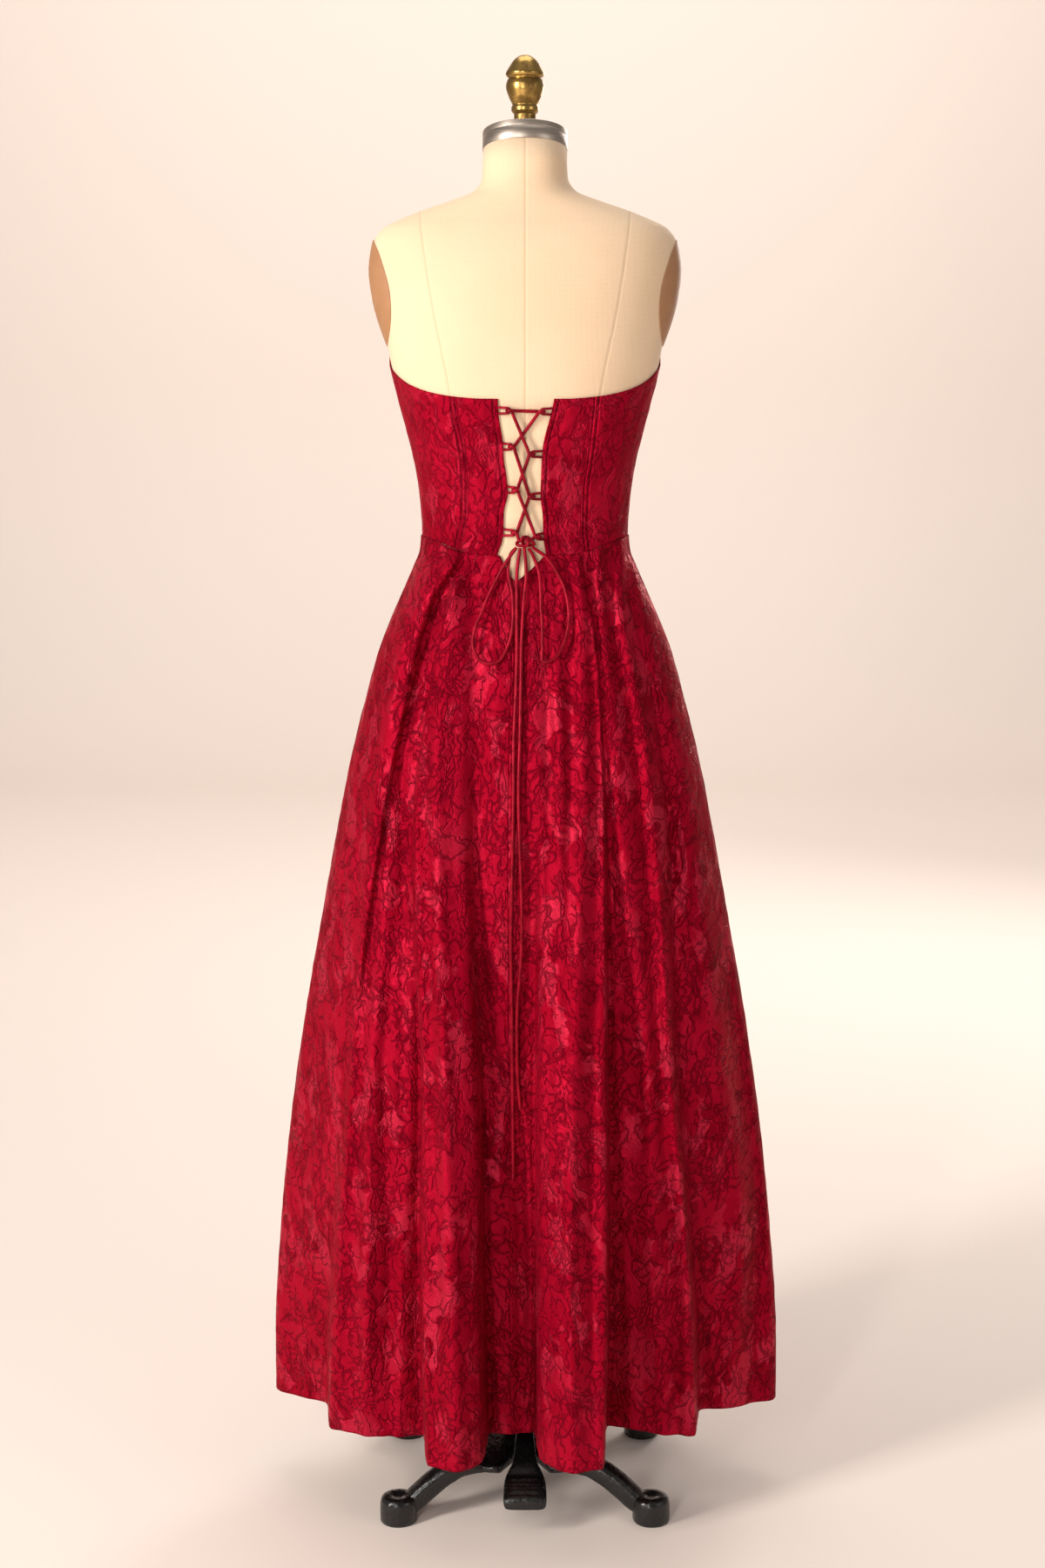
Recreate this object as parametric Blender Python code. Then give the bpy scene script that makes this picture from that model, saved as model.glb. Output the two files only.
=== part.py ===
"""Strapless corset dress on a limbless dress form with a cast iron stand.

Metres, Z up, the laced back of the dress faces -Y and the wearer's right is +X.
Origin on the floor under the post. Angles go round from the centre back, plus towards +X.
"""
import math

import bpy
import numpy as np

# Driving dimensions, metres
CLOTH = 0.0016            # wall of every cloth panel
SEAM = 0.0003             # air left at each seam and between neighbours
FORM_AIR = 0.0008         # air between the form and the bodice
PLATE_AIR = 0.0010        # air under the arm plates, which are flatter than the form
HEM_HEIGHT = 0.11         # hem above the floor
WAIST_BACK = 1.1870       # waist seam beside the laced opening
NOTCH_BOTTOM = 1.1555     # bottom of the V below the opening
CENTRE_SEAM_X = -0.0100   # centre back seam of the skirt
LACE_RADIUS = 0.0018
LOOP_RADIUS = 0.0014
LOOP_EYE = 0.0070         # between the two strands of a button loop
POST_RADIUS = 0.0130
COLUMN_RADIUS = 0.0260
FORM_BOTTOM = 0.900
NECK_TILT = math.radians(13)
BAND_RADIUS = 0.0500
BAND_HEIGHT = 0.0230
FOOT_X = 0.156
FOOT_Y = 0.125
FOOT_RADIUS = 0.0230
FOOT_HEIGHT = 0.0330
SUPER = 2.3               # squareness of a body section

# Form: height, half width, depth behind the axis, depth in front of it
FORM_ROWS = np.array([
    (0.900, 0.1500, 0.0920, 0.0800),
    (0.950, 0.1600, 0.1080, 0.0900),
    (1.000, 0.1630, 0.1120, 0.0930),
    (1.050, 0.1580, 0.1060, 0.0930),
    (1.100, 0.1470, 0.0950, 0.0900),
    (1.150, 0.1340, 0.0850, 0.0850),
    (1.190, 0.1236, 0.0785, 0.0810),
    (1.211, 0.1216, 0.0780, 0.0815),
    (1.250, 0.1240, 0.0800, 0.0880),
    (1.294, 0.1306, 0.0850, 0.1020),
    (1.335, 0.1406, 0.0910, 0.1170),
    (1.377, 0.1516, 0.0970, 0.1210),
    (1.408, 0.1590, 0.1000, 0.1170),
    (1.440, 0.1650, 0.1015, 0.1080),
    (1.489, 0.1740, 0.0990, 0.0920),
    (1.529, 0.1790, 0.0920, 0.0780),
    (1.550, 0.1790, 0.0850, 0.0710),
    (1.566, 0.1690, 0.0770, 0.0650),
    (1.577, 0.1480, 0.0700, 0.0610),
    (1.588, 0.1200, 0.0640, 0.0580),
    (1.598, 0.0900, 0.0590, 0.0550),
    (1.610, 0.0600, 0.0545, 0.0520),
    (1.625, 0.0505, 0.0505, 0.0505),
    (1.640, 0.0495, 0.0495, 0.0495),
])

# Skirt outside the body: height, half width, depth of the back, depth of the front
SKIRT_ROWS = np.array([
    (0.1100, 0.3210, 0.2250, 0.2250),
    (0.1925, 0.3200, 0.2200, 0.2200),
    (0.3320, 0.3100, 0.2090, 0.2100),
    (0.4690, 0.2950, 0.1980, 0.1980),
    (0.6050, 0.2750, 0.1850, 0.1850),
    (0.7380, 0.2510, 0.1700, 0.1710),
    (0.8480, 0.2305, 0.1560, 0.1580),
    (0.9340, 0.2130, 0.1430, 0.1450),
    (1.0200, 0.1910, 0.1260, 0.1270),
    (1.0630, 0.1790, 0.1150, 0.1170),
    (1.1050, 0.1630, 0.1030, 0.1070),
    (1.1480, 0.1440, 0.0915, 0.0960),
    (1.1700, 0.1345, 0.0860, 0.0895),
    (1.1900, 0.1268, 0.0816, 0.0842),
    (1.2110, 0.1250, 0.0812, 0.0847),
])

# Skirt folds. Each row is a line down the cloth: its angle from the centre back at the waist,
# hip, knee and hem, and how far it sinks behind the full outline at hip, knee and hem.
FOLD_LEVELS = (1.190, 0.950, 0.550, 0.110)
BACK_FOLDS = {
    "side_left": (-90.0, -90.0, -90.0, -90.0, 0.000, 0.005, 0.030),
    "side_panel_left": (-60.0, -63.0, -63.5, -64.0, 0.001, 0.040, 0.105),
    "pleat_flap": (-35.8, -46.6, -48.0, -49.5, 0.000, 0.036, 0.128),
    "pleat_under": (-34.8, -43.2, -44.9, -45.8, 0.012, 0.030, 0.062),
    "pleat_middle": (-34.1, -38.7, -33.7, -29.2, 0.013, 0.030, 0.073),
    "pleat_inner": (-33.4, -34.4, -23.4, -20.0, 0.013, 0.042, 0.092),
    "pleat_edge": (-32.3, -32.0, -21.4, -18.2, 0.000, 0.005, 0.009),
    "lobe_left": (-24.7, -25.0, -16.1, -12.0, 0.000, -0.002, -0.002),
    "flank_left": (-14.5, -15.8, -9.4, -6.9, 0.003, 0.014, 0.030),
    "valley_left": (-9.0, -12.2, -7.6, -5.6, 0.009, 0.052, 0.108),
    "centre": (-3.2, -3.5, -2.5, -1.9, 0.007, 0.050, 0.104),
    "valley_right": (3.4, 1.8, 1.2, 1.0, 0.006, 0.052, 0.112),
    "flank_right": (7.2, 4.6, 2.7, 2.2, 0.002, 0.016, 0.032),
    "lobe_right": (17.0, 14.0, 9.1, 8.0, 0.000, -0.002, -0.003),
    "fold_edge": (28.0, 21.9, 16.2, 13.8, 0.000, 0.000, 0.002),
    "fold_under": (29.4, 23.8, 18.0, 15.7, 0.012, 0.052, 0.122),
    "side_lobe": (39.0, 32.4, 28.7, 29.2, 0.005, 0.034, 0.080),
    "soft_lobe": (49.5, 45.5, 35.8, 37.4, 0.001, 0.022, 0.060),
    "soft_fold": (54.0, 49.5, 39.3, 41.0, 0.008, 0.054, 0.128),
    "side_panel_right": (68.0, 66.0, 61.0, 62.0, 0.002, 0.036, 0.085),
    "side_right": (90.0, 90.0, 90.0, 90.0, 0.000, 0.000, 0.000),
}
FRONT_FOLDS = {
    "side_right": (90.0, 90.0, 90.0, 90.0, 0.000, 0.000, 0.000),
    "front_side_right": (112.0, 114.0, 117.0, 118.0, 0.002, 0.034, 0.080),
    "front_soft_fold_right": (125.0, 129.0, 136.0, 137.0, 0.006, 0.048, 0.115),
    "front_soft_lobe_right": (129.0, 133.0, 140.0, 141.0, 0.001, 0.020, 0.056),
    "front_side_lobe_right": (139.0, 143.0, 149.0, 151.0, 0.006, 0.034, 0.076),
    "front_under_right": (146.6, 151.0, 157.5, 160.0, 0.012, 0.050, 0.112),
    "front_edge_right": (148.0, 153.0, 159.5, 162.0, 0.000, 0.000, 0.002),
    "front_lobe_right": (158.0, 163.0, 166.0, 168.0, 0.000, -0.002, -0.003),
    "front_centre": (180.0, 180.0, 180.0, 180.0, 0.004, 0.024, 0.055),
    "front_lobe_left": (202.0, 197.0, 194.5, 193.0, 0.000, -0.002, -0.003),
    "front_edge_left": (212.0, 207.0, 201.0, 198.5, 0.000, 0.000, 0.002),
    "front_under_left": (213.4, 209.0, 203.0, 200.5, 0.012, 0.048, 0.108),
    "front_side_lobe_left": (221.0, 217.0, 212.0, 210.0, 0.006, 0.036, 0.080),
    "front_soft_lobe_left": (231.0, 227.0, 221.0, 220.0, 0.001, 0.022, 0.060),
    "front_soft_fold_left": (235.0, 231.0, 225.0, 224.0, 0.006, 0.046, 0.110),
    "front_side_left": (248.0, 246.0, 243.0, 242.0, 0.002, 0.024, 0.055),
    "side_left": (270.0, 270.0, 270.0, 270.0, 0.000, -0.005, -0.030),
}

# Bodice edges as heights against the angle from the centre back
TOP_EDGE = np.array([
    (0, 1.3688), (15, 1.3690), (30, 1.3715), (45, 1.3770), (60, 1.3860), (75, 1.3980),
    (90, 1.4090), (105, 1.4300), (120, 1.4450), (140, 1.4540), (155, 1.4520), (180, 1.4380),
])
WAIST_EDGE = np.array([
    (0, 1.1870), (20, 1.1880), (35, 1.1925), (50, 1.2000), (70, 1.2050), (90, 1.2065),
    (130, 1.2050), (160, 1.2010), (180, 1.1960),
])

# Laced opening and back princess seams: height against x
OPENING_LEFT = np.array([
    (1.1500, -0.0330), (1.1860, -0.0327), (1.2045, -0.0270), (1.2175, -0.0255), (1.2370, -0.0250),
    (1.2600, -0.0203), (1.2800, -0.0220), (1.3000, -0.0250), (1.3170, -0.0258), (1.3530, -0.0310),
    (1.3800, -0.0318),
])
OPENING_RIGHT = np.array([
    (1.1500, 0.0250), (1.1830, 0.0246), (1.2104, 0.0215), (1.2350, 0.0205), (1.2560, 0.0180),
    (1.2970, 0.0193), (1.3110, 0.0203), (1.3530, 0.0303), (1.3800, 0.0360),
])
PRINCESS_LEFT = np.array([
    (1.1500, -0.0820), (1.1923, -0.0759), (1.2313, -0.0675), (1.2640, -0.0663), (1.2914, -0.0671),
    (1.3217, -0.0710), (1.3468, -0.0769), (1.3900, -0.0800),
])
PRINCESS_RIGHT = np.array([
    (1.1500, 0.0740), (1.1945, 0.0678), (1.2150, 0.0656), (1.2619, 0.0664), (1.2995, 0.0712),
    (1.3548, 0.0769), (1.3900, 0.0790),
])
FRONT_PRINCESS = 146.0    # angle of the front princess seams, both sides

# Button loops on the opening's edges: height of the middle, x of the tip
LOOPS = {
    "left_1": (1.3555, -0.0171), "left_2": (1.3140, -0.0145), "left_3": (1.2640, -0.0105),
    "left_4": (1.2140, -0.0112),
    "right_1": (1.3545, 0.0181), "right_2": (1.3055, 0.0065), "right_3": (1.2565, 0.0065),
    "right_4": (1.2095, 0.0135),
}
LOOP_LIFT = 0.0068        # middle of a loop's tip above the form
KNOT_CENTRE = (-0.0015, 1.2018)
KNOT_LIFT = 0.0105
KNOT_RADII = (0.0110, 0.0044, 0.0046)

# Free stretches of the lace, x and height down the back
BOW_LEFT = (
    (-0.0100, 1.1972), (-0.0175, 1.1890), (-0.0236, 1.1775), (-0.0370, 1.1540), (-0.0520, 1.1190),
    (-0.0605, 1.0960), (-0.0600, 1.0780), (-0.0520, 1.0660), (-0.0400, 1.0610), (-0.0290, 1.0680),
    (-0.0190, 1.0870), (-0.0145, 1.1090), (-0.0145, 1.1330), (-0.0168, 1.1550), (-0.0205, 1.1720),
    (-0.0195, 1.1840), (-0.0104, 1.1962),
)
BOW_RIGHT = (
    (0.0085, 1.1974), (0.0150, 1.1935), (0.0240, 1.1865), (0.0348, 1.1720), (0.0451, 1.1518),
    (0.0511, 1.1238), (0.0490, 1.0980), (0.0398, 1.0762), (0.0306, 1.0664), (0.0230, 1.0630),
    (0.0205, 1.0760), (0.0204, 1.0992), (0.0184, 1.1320), (0.0174, 1.1590), (0.0140, 1.1780),
    (0.0042, 1.1962),
)
TAIL_LEFT = (
    (-0.0058, 1.1966), (-0.0092, 1.1850), (-0.0096, 1.1651), (-0.0098, 1.1300), (-0.0098, 1.0704),
    (-0.0111, 1.0257), (-0.0132, 0.9788), (-0.0136, 0.9107), (-0.0152, 0.8251), (-0.0168, 0.7322),
    (-0.0160, 0.6754), (-0.0152, 0.5890), (-0.0142, 0.4470),
)
TAIL_RIGHT = (
    (-0.0008, 1.1966), (0.0020, 1.1853), (0.0005, 1.1580), (-0.0020, 1.1281), (-0.0040, 1.0933),
    (-0.0048, 1.0476), (-0.0060, 0.9788), (-0.0078, 0.9107), (-0.0060, 0.8453), (-0.0040, 0.7605),
    (-0.0055, 0.7038), (-0.0085, 0.6693), (-0.0095, 0.6043), (-0.0090, 0.5748), (-0.0056, 0.5330),
)


def clear_scene():
    for obj in list(bpy.data.objects):
        bpy.data.objects.remove(obj, do_unlink=True)


def collection_named(name, hidden=False):
    group = bpy.data.collections.new(name)
    bpy.context.scene.collection.children.link(group)
    group.hide_render = hidden
    return group


def surface(name, colour, roughness, metallic=0.0):
    material = bpy.data.materials.new(name)
    material.use_nodes = True
    shader = material.node_tree.nodes["Principled BSDF"]
    shader.inputs["Base Color"].default_value = (*colour, 1.0)
    shader.inputs["Roughness"].default_value = roughness
    shader.inputs["Metallic"].default_value = metallic
    return material


def curve_value(rows, column, at):
    """Monotone cubic through the rows of a table, column 0 the variable."""
    rows = rows[np.argsort(rows[:, 0])]
    x = rows[:, 0]
    y = rows[:, column]
    step = np.diff(x)
    slope = np.diff(y) / step
    tangent = np.zeros_like(y)
    before = slope[:-1]
    after = slope[1:]
    same = before * after > 0
    mean = np.where(same, 2 * before * after / np.where(same, before + after, 1.0), 0.0)
    tangent[1:-1] = mean
    tangent[0] = slope[0]
    tangent[-1] = slope[-1]
    at = np.clip(np.asarray(at, float), x[0], x[-1])
    k = np.clip(np.searchsorted(x, at, side="right") - 1, 0, len(step) - 1)
    t = (at - x[k]) / step[k]
    left = y[k] * (1 + 2 * t) * (1 - t) ** 2 + y[k + 1] * t * t * (3 - 2 * t)
    right = tangent[k] * step[k] * t * (1 - t) ** 2 - tangent[k + 1] * step[k] * t * t * (1 - t)
    return left + right


def section(angle, half_width, back, front):
    """x and y of a squarish oval section; the angle is in radians from the centre back."""
    s = np.sin(angle)
    c = np.cos(angle)
    depth = np.where(c > 0, back, front)
    x = half_width * np.sign(s) * np.abs(s) ** (2 / SUPER)
    y = -depth * np.sign(c) * np.abs(c) ** (2 / SUPER)
    return x, y


def angle_at_x(x, half_width):
    """The angle of the back section's point at x."""
    share = np.clip(np.abs(x / half_width), 0, 1)
    return np.sign(x) * np.arcsin(share ** (SUPER / 2))


def form_size(height, out=0.0):
    return [curve_value(FORM_ROWS, i, height) + out for i in (1, 2, 3)]


def skirt_size(height):
    return [curve_value(SKIRT_ROWS, i, height) for i in (1, 2, 3)]


def mesh_object(name, points, faces, material, group, smooth=True):
    data = bpy.data.meshes.new(name)
    data.from_pydata([tuple(map(float, p)) for p in points], [], faces)
    data.validate()
    data.materials.append(material)
    data.polygons.foreach_set("use_smooth", [smooth] * len(data.polygons))
    obj = bpy.data.objects.new(name, data)
    group.objects.link(obj)
    return obj


def grid_faces(rows, columns, start=0, flip=False):
    """Four-sided faces that all start at the same corner, so both sides of a wall fold alike."""
    faces = []
    for r in range(rows - 1):
        for c in range(columns - 1):
            a = start + r * columns + c
            below = a + columns
            quad = (a, below, below + 1, a + 1) if flip else (a, a + 1, below + 1, below)
            faces.append(quad)
    return faces


def wall_object(name, outer, inner, material, group):
    """A closed wall from two equal grids; columns run with the angle and rows run downwards."""
    rows, columns = outer.shape[:2]
    count = rows * columns
    points = np.concatenate([outer.reshape(-1, 3), inner.reshape(-1, 3)])
    faces = grid_faces(rows, columns, 0, True) + grid_faces(rows, columns, count, False)
    rim = [c for c in range(columns)]
    rim += [r * columns + columns - 1 for r in range(1, rows)]
    rim += [(rows - 1) * columns + c for c in range(columns - 2, -1, -1)]
    rim += [r * columns for r in range(rows - 2, 0, -1)]
    for a, b in zip(rim, rim[1:] + rim[:1]):
        faces.append((a, b, b + count, a + count))
    return mesh_object(name, points, faces, material, group)


def lofted_object(name, rings, material, group):
    """A closed body through equal rings, from the bottom up, each anticlockwise from above."""
    rings = np.asarray(rings, float)
    rows, count = rings.shape[:2]
    faces = []
    for r in range(rows - 1):
        for c in range(count):
            d = (c + 1) % count
            faces.append((r * count + c, r * count + d, (r + 1) * count + d, (r + 1) * count + c))
    faces.append(tuple(range(count - 1, -1, -1)))
    faces.append(tuple((rows - 1) * count + c for c in range(count)))
    return mesh_object(name, rings.reshape(-1, 3), faces, material, group)


def turned_object(name, profile, steps, material, group, centre=(0, 0, 0), tilt=0.0, foot_tilt=0.0):
    """A turned body from (radius, height) pairs, closed by its end discs.

    It leans by tilt towards +Y, or stands upright with only its lowest ring on a slope of foot_tilt.
    """
    turn = np.arange(steps) * 2 * math.pi / steps
    rings = []
    for radius, height in profile:
        x = radius * np.cos(turn)
        y = radius * np.sin(turn)
        z = np.full(steps, height)
        lean_y = y * math.cos(tilt) + z * math.sin(tilt)
        lean_z = z * math.cos(tilt) - y * math.sin(tilt)
        if not rings:
            lean_z = lean_z - y * math.tan(foot_tilt)
        rings.append(np.stack([x + centre[0], lean_y + centre[1], lean_z + centre[2]], axis=1))
    return lofted_object(name, rings, material, group)


def tube_object(name, outer, inner, steps, material, group):
    """A turned tube from outer and inner (radius, height) pairs, both listed from the bottom."""
    profile = list(outer) + list(inner)[::-1]
    turn = np.arange(steps) * 2 * math.pi / steps
    points = []
    for radius, height in profile:
        points += [(radius * math.cos(t), radius * math.sin(t), height) for t in turn]
    faces = []
    count = len(profile)
    for r in range(count):
        q = (r + 1) % count
        for c in range(steps):
            d = (c + 1) % steps
            faces.append((r * steps + c, r * steps + d, q * steps + d, q * steps + c))
    return mesh_object(name, points, faces, material, group)


def cord_object(name, points, radius, material, group, closed=False):
    curve = bpy.data.curves.new(name, "CURVE")
    curve.dimensions = "3D"
    curve.bevel_depth = radius
    curve.bevel_resolution = 2
    curve.use_fill_caps = True
    line = curve.splines.new("POLY")
    line.points.add(len(points) - 1)
    for point, place in zip(line.points, points):
        point.co = (*map(float, place), 1.0)
    line.use_cyclic_u = closed
    line.use_smooth = True
    curve.materials.append(material)
    obj = bpy.data.objects.new(name, curve)
    group.objects.link(obj)
    return obj


def smooth_path(points, steps):
    """Points along a smooth line through the given ones, evenly spaced."""
    points = np.asarray(points, float)
    length = np.concatenate([[0], np.cumsum(np.linalg.norm(np.diff(points, axis=0), axis=1))])
    at = np.linspace(0, length[-1], 400)
    dense = np.stack([curve_spline(length, points[:, i], at) for i in range(points.shape[1])], axis=1)
    run = np.concatenate([[0], np.cumsum(np.linalg.norm(np.diff(dense, axis=0), axis=1))])
    even = np.linspace(0, run[-1], steps)
    return np.stack([np.interp(even, run, dense[:, i]) for i in range(points.shape[1])], axis=1)


def curve_spline(x, y, at):
    """Cubic through all points with slopes taken from the neighbours."""
    slope = np.gradient(y, x)
    k = np.clip(np.searchsorted(x, at, side="right") - 1, 0, len(x) - 2)
    step = x[k + 1] - x[k]
    t = (at - x[k]) / step
    left = y[k] * (1 + 2 * t) * (1 - t) ** 2 + y[k + 1] * t * t * (3 - 2 * t)
    right = slope[k] * step * t * (1 - t) ** 2 - slope[k + 1] * step * t * t * (1 - t)
    return left + right


# Body of the form
def form_point(angle, height, out=0.0):
    half_width, back, front = form_size(height, out)
    x, y = section(angle, half_width, back, front)
    return np.stack([x, y, np.asarray(height) + 0 * x], axis=-1)


def form_back_y(x, height, out=0.0):
    half_width, back, _ = form_size(height, out)
    share = np.clip(np.abs(x / half_width), 0, 1)
    return -back * (1 - share ** SUPER) ** (1 / SUPER)


def build_form(linen, tan, steel, brass, group):
    around = 30
    angle = -np.arange(around) * 2 * math.pi / around
    heights = [0.900, 0.903, 0.930, 0.970, 1.02, 1.07, 1.12, 1.16, 1.188, 1.202, 1.218, 1.238, 1.264,
               1.30, 1.34, 1.38, 1.42, 1.46, 1.505, 1.537, 1.553, 1.567, 1.578, 1.589,
               1.599, 1.608, 1.618, 1.636]
    rings = []
    for number, height in enumerate(heights):
        inset = -0.004 if number == 0 else 0.0
        ring = form_point(-angle, np.full(around, height), inset)
        rings.append(ring)
    top = form_point(-angle, np.full(around, 1.640))
    top[:, 2] = 1.6550 - top[:, 1] * math.tan(NECK_TILT)
    rings.append(top)
    lofted_object("form_torso", rings, linen, group)

    neck = np.array([0.0, 0.0, 1.6550])
    up = np.array([0.0, math.sin(NECK_TILT), math.cos(NECK_TILT)])
    band = neck + up * SEAM
    edge = 0.0012
    profile = [(BAND_RADIUS - edge, 0.0), (BAND_RADIUS, edge),
               (BAND_RADIUS, BAND_HEIGHT - edge), (BAND_RADIUS - edge, BAND_HEIGHT)]
    turned_object("neck_band", profile, 28, steel, group, band, NECK_TILT)
    profile = [(0.0130, 0.0), (0.0130, 0.0215), (0.0160, 0.0250), (0.0160, 0.0290), (0.0148, 0.0315),
               (0.0160, 0.0330), (0.0200, 0.0420), (0.0225, 0.0530), (0.0205, 0.0595), (0.0190, 0.0617),
               (0.0214, 0.0633), (0.0227, 0.0665), (0.0205, 0.0712), (0.0185, 0.0755), (0.0150, 0.0810),
               (0.0092, 0.0862), (0.0030, 0.0884)]
    foot = band + up * BAND_HEIGHT
    foot[2] += SEAM / math.cos(NECK_TILT)
    turned_object("neck_finial", profile, 18, brass, group, foot, 0.0, NECK_TILT)

    for side, sign in (("left", -1), ("right", 1)):
        around = np.linspace(0, 2 * math.pi, 20, endpoint=False)
        outer = []
        inner = []
        for share in (1.0, 0.90, 0.58, 0.15):
            plate_angle = sign * (math.pi / 2 + share * np.cos(around) * math.radians(27))
            height = 1.492 + share * np.sin(around) * 0.062
            bulge = 0.0014 + 0.0066 * (1 - share ** 2)
            if share == 1.0:
                bulge = 0.0008
            outer.append(form_point(plate_angle, height, bulge + PLATE_AIR))
            inner.append(form_point(plate_angle, height, PLATE_AIR))
        rings = np.array(inner[::-1] + outer)
        if sign > 0:
            rings = rings[:, ::-1]
        lofted_object(f"arm_plate_{side}", rings, tan, group)


# Bodice panels
def edge_angle(table, height, half_width):
    return angle_at_x(curve_value(table, 1, height), half_width)


def bodice_panel(name, start, stop, rows, columns, cloth, group):
    """start and stop give the angle of each edge for an array of heights."""
    share_down = np.linspace(0, 1, rows)[:, None]
    share_round = np.linspace(0, 1, columns)[None, :]
    top = np.zeros((1, columns))
    bottom = np.zeros((1, columns))
    guess = np.full((rows, columns), 1.30)
    for _ in range(6):
        first = start(guess)
        last = stop(guess)
        angle = first + (last - first) * share_round
        degrees = np.degrees(np.abs(angle))
        degrees = np.where(degrees > 180, 360 - degrees, degrees)
        top = curve_value(TOP_EDGE, 1, degrees[0])[None, :]
        bottom = curve_value(WAIST_EDGE, 1, degrees[-1])[None, :] + SEAM / 2
        guess = top + (bottom - top) * share_down
    height = guess
    inset = SEAM / 2 / 0.11
    angle = first + inset + (last - first - 2 * inset) * share_round
    outer = form_point(angle, height, FORM_AIR + CLOTH)
    inner = form_point(angle, height, FORM_AIR)
    wall_object(name, outer, inner, cloth, group)


def constant_angle(degrees):
    return lambda height: np.full_like(height, math.radians(degrees))


def seam_angle(table):
    def at(height):
        return edge_angle(table, height, form_size(height, FORM_AIR + CLOTH)[0])
    return at


def build_bodice(cloth, group):
    panels = (
        ("bodice_back_left", seam_angle(PRINCESS_LEFT), seam_angle(OPENING_LEFT), 12, 6),
        ("bodice_back_right", seam_angle(OPENING_RIGHT), seam_angle(PRINCESS_RIGHT), 12, 6),
        ("bodice_side_back_left", constant_angle(-90), seam_angle(PRINCESS_LEFT), 12, 8),
        ("bodice_side_back_right", seam_angle(PRINCESS_RIGHT), constant_angle(90), 12, 8),
        ("bodice_side_front_left", constant_angle(-FRONT_PRINCESS), constant_angle(-90), 12, 8),
        ("bodice_side_front_right", constant_angle(90), constant_angle(FRONT_PRINCESS), 12, 8),
        ("bodice_front_left", constant_angle(-180), constant_angle(-FRONT_PRINCESS), 12, 6),
        ("bodice_front_right", constant_angle(FRONT_PRINCESS), constant_angle(180), 12, 6),
    )
    for name, start, stop, rows, columns in panels:
        bodice_panel(name, start, stop, rows, columns, cloth, group)


# Skirt
def fold_lines(table, steps):
    """Angle and sink of every column at the four levels, with steps columns from row to row."""
    rows = np.array(list(table.values()), float)
    number = np.arange(len(rows), dtype=float)
    at = np.linspace(0, len(rows) - 1, (len(rows) - 1) * steps + 1)
    stacked = np.column_stack([number, rows])
    return np.stack([curve_value(stacked, i + 1, at) for i in range(rows.shape[1])], axis=1)


def skirt_top(angle):
    """Height of the skirt's upper edge, with the V below the laced opening."""
    degrees = np.abs(np.degrees(angle))
    degrees = np.where(degrees > 180, 360 - degrees, degrees)
    top = curve_value(WAIST_EDGE, 1, degrees) - SEAM / 2
    half_width, back, front = skirt_size(top)
    x, _ = section(angle, half_width, back, front)
    behind = np.cos(angle) > 0
    left = np.clip((x - CENTRE_SEAM_X) / (-0.0300 - CENTRE_SEAM_X), 0, 1)
    right = np.clip((x - CENTRE_SEAM_X) / (0.0240 - CENTRE_SEAM_X), 0, 1)
    share = np.where(x < CENTRE_SEAM_X, left, right)
    return np.where(behind, NOTCH_BOTTOM + (top - NOTCH_BOTTOM) * share, top)


def skirt_grid(table, steps, rows, forwards):
    """Outer points of the skirt; a fold sinks forwards (+1) behind and backwards (-1) in front."""
    lines = fold_lines(table, steps)
    top = skirt_top(np.radians(lines[:, 0]))
    share = np.linspace(0, 1, rows)[:, None]
    height = top[None, :] + (HEM_HEIGHT - top[None, :]) * share
    level = np.array(FOLD_LEVELS)
    angle = np.empty_like(height)
    sink = np.empty_like(height)
    for c in range(lines.shape[0]):
        turned = np.column_stack([level, lines[c, :4]])
        sunk = np.column_stack([level, np.concatenate([[0.0], lines[c, 4:]])])
        angle[:, c] = np.radians(curve_value(turned, 1, height[:, c]))
        sink[:, c] = curve_value(sunk, 1, height[:, c])
    half_width, back, front = skirt_size(height)
    x, y = section(angle, half_width, back, front)
    return np.stack([x, y + forwards * sink, height], axis=-1)


def unit(vectors):
    return vectors / np.linalg.norm(vectors, axis=-1, keepdims=True)


def inward(ring, distance):
    """A closed ring of columns moved level and square to itself, towards its hollow side."""
    ahead = unit((np.roll(ring, -1, axis=1) - ring)[..., :2])
    astern = unit((ring - np.roll(ring, 1, axis=1))[..., :2])
    tangent = unit(ahead + astern)
    normal = np.stack([-tangent[..., 1], tangent[..., 0]], axis=-1)
    corner = np.clip((tangent * ahead).sum(axis=-1, keepdims=True), 0.7, 1.0)
    moved = ring.copy()
    moved[..., :2] += normal * distance / corner
    return moved


def pull_apart(outer, inner):
    """Takes half a seam's air off the first and last columns, along the outer cloth."""
    outer = outer.copy()
    inner = inner.copy()
    for edge, beside in ((0, 1), (-1, -2)):
        step = unit(outer[:, beside] - outer[:, edge]) * SEAM
        outer[:, edge] += step
        inner[:, edge] += step
    return outer, inner


def build_skirt(cloth, group):
    rows = 16
    back = skirt_grid(BACK_FOLDS, 2, rows, 1)
    front = skirt_grid(FRONT_FOLDS, 2, rows, -1)
    ring = np.concatenate([back, front[:, 1:-1]], axis=1)
    lining = inward(ring, CLOTH)
    centre_back = 2 * list(BACK_FOLDS).index("centre")
    side = back.shape[1] - 1
    centre_front = side + 2 * list(FRONT_FOLDS).index("front_centre")
    columns = np.arange(ring.shape[1] + 1) % ring.shape[1]
    pieces = (
        ("skirt_back_left", columns[:centre_back + 1]),
        ("skirt_back_right", columns[centre_back:side + 1]),
        ("skirt_front_right", columns[side:centre_front + 1]),
        ("skirt_front_left", columns[centre_front:]),
    )
    for name, chosen in pieces:
        outer, inner = pull_apart(ring[:, chosen], lining[:, chosen])
        wall_object(name, outer, inner, cloth, group)
    return back


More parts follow.
